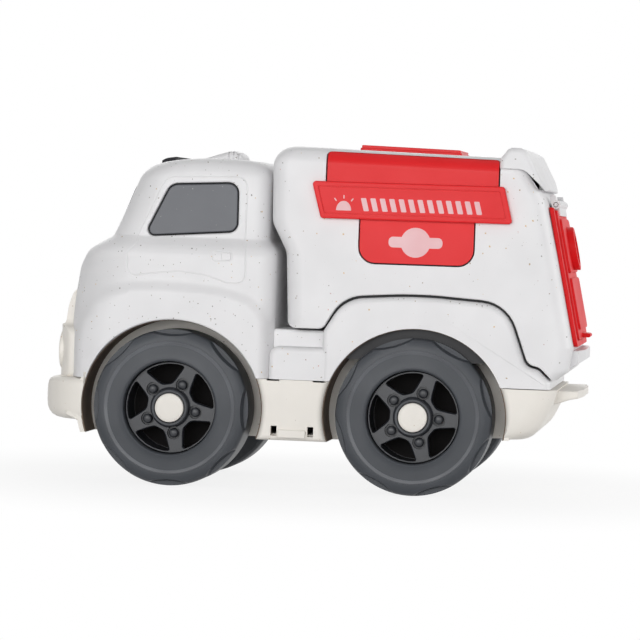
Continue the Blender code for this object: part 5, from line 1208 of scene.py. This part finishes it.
def visor():
    """White hood over the rear edge of the roof, level on top, its lip bowed."""
    outer = rounded([(-0.0660, 0.1098, 0), (-0.0660, 0.1205, 0.003), (-0.0692, 0.1246, 0.0025),
                     (-0.0750, 0.1246, 0.0040), (-0.0828, 0.1098, 0.0006)])
    under = rounded([(-0.0640, 0.1080, 0), (-0.0640, 0.1172, 0), (-0.0728, 0.1172, 0.003), (-0.0756, 0.1165, 0.003),
                     (-0.0800, 0.1098, 0), (-0.0800, 0.1080, 0)])
    plan = rounded([(-0.0600, -0.0480, 0), (-0.0600, 0.0480, 0), (-0.0800, 0.0480, 0), (-0.0822, 0.0320, 0.040),
                    (-0.0830, 0.0, 0), (-0.0822, -0.0320, 0.040), (-0.0800, -0.0480, 0)])
    hood = slab(outer, -BOX_HALF - 0.0012, BOX_HALF + 0.0012, edge=0.0022, steps=6)
    hood = shared(hood, slab(plan, 0.1000, 0.1400, axis="z"))
    hood = carved(hood, slab(under, -BEYOND, BEYOND), box_skin(inset=-0.00005))
    piece("rear_hood", hood, WHITE, "rear_visor")


# Rear door


DOOR_HALF = 0.0265
DOOR_FOOT_Z = 0.0570
HINGE_Z = 0.1052
HINGE_X = box_rear_x(HINGE_Z) - 0.0022
HINGE_RADIUS = 0.0016
BADGE_Z = 0.0896
BADGE_RADIUS = 0.0078


REAR_LEAN = shear(0, 2, BOX_LEAN, 0.0)
REAR_LEAN[0][0] = -1.0
REAR_LEAN[0][3] = BOX_FOOT_X - BOX_LEAN * BOX_LEAN_Z


def leaning(outline, low, high, edge=0.0):
    """A slab on the leaning rear face: its outline is (y, z), and it lies from low to high outwards."""
    return moved(slab(outline, low, high, axis="x", edge=edge, steps=2, rims="high"), REAR_LEAN)


def leaning_oblong(half, foot, head, low, high, *fillets, edge=0.0):
    """A rectangle on the leaning rear face, as wide on both sides."""
    return leaning(rounded(oblong((-half, foot), (half, head), *fillets)), low, high, edge)


def hinge_lug(side, bore):
    """The fixed lug at one side of the hinge, with its foot on the box."""
    low, high = across(side, 0.0203, 0.0238)
    barrel = rod(HINGE_RADIUS, (HINGE_X, low, HINGE_Z), (HINGE_X, high, HINGE_Z), 32)
    foot = leaning(rounded(oblong((low, HINGE_Z), (high, HINGE_Z + 0.0032), 0)), 0.0005, 0.0026)
    return carved(joined(barrel, foot), bore)


def door_set():
    """Red surround with hinge lugs, and the swinging door with its raised panels, badge and peg."""
    corners = 0.003, 0.003, 0.001, 0.001
    surround = leaning_oblong(DOOR_HALF + 0.006, DOOR_FOOT_Z - 0.0024, 0.1041, 0.0001, 0.0016, *corners, edge=0.0004)
    opening = leaning_oblong(DOOR_HALF + 0.0003, DOOR_FOOT_Z - 0.0003, HINGE_Z + 0.0024, -0.002, 0.008, *corners)
    piece("door_surround", carved(surround, opening), DOOR_RED, "door_frame")
    bore = rod(0.0009, (HINGE_X, -0.03, HINGE_Z), (HINGE_X, 0.03, HINGE_Z), 24)
    piece("hinge_lugs", together(*[hinge_lug(side, bore) for _, side in SIDES]), WHITE, "door_frame")

    top_z = HINGE_Z - 0.0020
    panel = leaning_oblong(DOOR_HALF, DOOR_FOOT_Z, top_z, 0.0003, 0.0024, *corners, edge=0.0005)
    field = DOOR_HALF - 0.0035
    lower = leaning_oblong(field, DOOR_FOOT_Z + 0.0035, 0.0790, 0.001, 0.0033, 0.003, 0.003, 0.002, 0.002,
                           edge=0.0005)
    upper = leaning_oblong(field, 0.0808, top_z - 0.0030, 0.001, 0.0033, 0.002, 0.002, 0.003, 0.003, edge=0.0005)
    peg = plate([(-0.0945, 0.0574, 0), (-0.0945, 0.0592, 0), (-0.0982, 0.0589, 0.0007), (-0.0982, 0.0575, 0.0007)],
                -0.0060, 0.0060, edge=0.0003)
    piece("swing_door", joined(panel, lower, upper, peg), DOOR_RED, "rear_door", body="door")
    knuckle = rod(HINGE_RADIUS, (HINGE_X, -0.0200, HINGE_Z), (HINGE_X, 0.0200, HINGE_Z), 32)
    arm = leaning_oblong(0.0200, top_z - 0.002, HINGE_Z, 0.0014, 0.0030, 0)
    piece("door_knuckle", carved(joined(knuckle, arm), bore), WHITE, "rear_door", body="door")
    rim = leaning(circle(0.0, BADGE_Z, BADGE_RADIUS, 72), 0.0033, 0.0058, edge=0.0004)
    dish = leaning(circle(0.0, BADGE_Z, BADGE_RADIUS * 0.72, 72), 0.0053, 0.0070)
    piece("round_badge", carved(rim, dish), DOOR_RED, "door_badge", body="door")


def kept_nodes():
    """Plain CAD nodes that stay, with their own finishes."""
    for name, material in (("front_axle", STEEL), ("rear_axle", STEEL), ("door_hinge_pin", WHITE),
                           ("front_axle_clamp", WHITE), ("rear_axle_clamp", WHITE)):
        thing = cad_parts[name]
        for slot in thing.material_slots:
            slot.material = material
        if not thing.material_slots:
            thing.data.materials.append(material)


# Floor, light and camera


def plain_light():
    """A dim even room for the toy, and white for what looks at the room itself."""
    world = bpy.data.worlds.new("pale room")
    bpy.context.scene.world = world
    world.use_nodes = True
    tree = world.node_tree
    tree.nodes.clear()
    rays = node(tree, "ShaderNodeLightPath").outputs
    seen = sums(tree, "MAXIMUM", rays["Is Camera Ray"], sums(tree, "MAXIMUM", rays["Is Glossy Ray"],
                                                             rays["Is Transmission Ray"]))
    dim = node(tree, "ShaderNodeBackground", Color=(1, 1, 1, 1), Strength=0.24)
    white = node(tree, "ShaderNodeBackground", Color=(1, 1, 1, 1), Strength=1.0)
    mix = node(tree, "ShaderNodeMixShader", Fac=seen, i1=dim.outputs[0], i2=white.outputs[0])
    out = tree.nodes.new("ShaderNodeOutputWorld")
    tree.links.new(mix.outputs[0], out.inputs[0])


def lamp(name, place, target_z, size, power):
    """A soft lamp that faces a point above the middle of the floor."""
    data = bpy.data.lights.new(name, "AREA")
    data.shape = "RECTANGLE"
    data.size, data.size_y = size
    data.energy = power
    thing = bpy.data.objects.new(name, data)
    bpy.context.scene.collection.objects.link(thing)
    thing.location = place
    thing.rotation_euler = (Vector(place) - Vector((0, 0, target_z))).to_track_quat("Z", "Y").to_euler()


def studio():
    """Soft lamps all round, the strongest on the photograph's side."""
    plain_light()
    lamp("large front light", (0.30, 1.44, 0.28), 0.06, (0.9, 0.8), 10.0)
    lamp("front fill light", (-0.55, 1.38, 0.22), 0.06, (0.7, 0.7), 4.6)
    lamp("tail light", (-1.30, -0.25, 0.45), 0.07, (0.9, 0.8), 6.8)
    lamp("far side light", (0.3, -1.3, 0.6), 0.06, (1.0, 0.8), 3.0)
    pale_floor()


def pale_floor():
    """A wide floor that shows white, keeps the toy's soft shadow, and is clear from below."""
    work = bmesh.new()
    bmesh.ops.create_grid(work, x_segments=1, y_segments=1, size=6.0)
    floor = bpy.data.objects.new("floor", finished(work, "floor"))
    bpy.context.scene.collection.objects.link(floor)
    material = bpy.data.materials.new("pale floor")
    material.use_nodes = True
    tree = material.node_tree
    shader = tree.nodes["Principled BSDF"]
    shader.inputs["Base Color"].default_value = (0.9, 0.9, 0.9, 1)
    shader.inputs["Roughness"].default_value = 0.8
    shader.inputs["Specular IOR Level"].default_value = 0.1
    glow = node(tree, "ShaderNodeEmission", Color=(1, 1, 1, 1), Strength=1.0)
    rays = node(tree, "ShaderNodeLightPath").outputs
    place = node(tree, "ShaderNodeTexCoord").outputs["Object"]
    far = node(tree, "ShaderNodeVectorMath", {"operation": "LENGTH"}, i0=place).outputs["Value"]
    reach = node(tree, "ShaderNodeMapRange", {"interpolation_type": "SMOOTHSTEP"}, Value=far, From_Min=0.08,
                 From_Max=0.20, To_Min=0.86, To_Max=1.0).outputs[0]
    share = sums(tree, "MULTIPLY", reach, sums(tree, "MAXIMUM", rays["Is Camera Ray"], rays["Is Glossy Ray"]))
    mix = node(tree, "ShaderNodeMixShader", Fac=share, i1=shader.outputs[0], i2=glow.outputs[0])
    below = node(tree, "ShaderNodeNewGeometry").outputs["Backfacing"]
    clear = node(tree, "ShaderNodeBsdfTransparent")
    sight = node(tree, "ShaderNodeMixShader", Fac=below, i1=mix.outputs[0], i2=clear.outputs[0])
    tree.links.new(sight.outputs[0], tree.nodes["Material Output"].inputs["Surface"])
    floor.data.materials.append(material)


# The camera: its focal length in pixels of the photograph, its yaw, pitch and roll in degrees, and its place
SENSOR_WIDTH = 36.0
FOCAL_PIXELS = 3431.6
PICTURE_WIDTH = 640
CAMERA_ANGLES = (7.309, -1.595, 1.934)
CAMERA_PLACE = (-0.15917, 1.25517, 0.09527)


def portrait_camera():
    """The photograph's own viewpoint: a long lens a little over a metre away, slightly tilted."""
    data = bpy.data.cameras.new("portrait")
    data.sensor_width = SENSOR_WIDTH
    data.lens = FOCAL_PIXELS / PICTURE_WIDTH * SENSOR_WIDTH
    data.clip_start, data.clip_end = 0.05, 30.0
    thing = bpy.data.objects.new("portrait", data)
    bpy.context.scene.collection.objects.link(thing)
    yaw, pitch, roll = (math.radians(angle) for angle in CAMERA_ANGLES)
    base = Matrix(((-1, 0, 0), (0, 0, 1), (0, 1, 0)))
    tilt = Matrix(((1, 0, 0), (0, math.cos(pitch), -math.sin(pitch)), (0, math.sin(pitch), math.cos(pitch))))
    bank = Matrix(((math.cos(roll), -math.sin(roll), 0), (math.sin(roll), math.cos(roll), 0), (0, 0, 1)))
    turn = Matrix.Rotation(yaw, 3, "Z") @ base @ tilt @ bank
    thing.matrix_world = Matrix.Translation(CAMERA_PLACE) @ turn.to_4x4()
    bpy.context.scene.camera = thing


cab_moulding()
panes()
roof_dress()
grille()
bumper()
chassis_tray()
well_shade_sheets()
base_screws()
wheels()
cargo_box()
seam_shadow_plates()
for side_name, side in SIDES:
    side_panel(side_name, side)
    sign_board(side_name, side)
roof_pad()
visor()
door_set()
kept_nodes()
studio()
portrait_camera()
bpy.context.scene.view_settings.view_transform = "Standard"
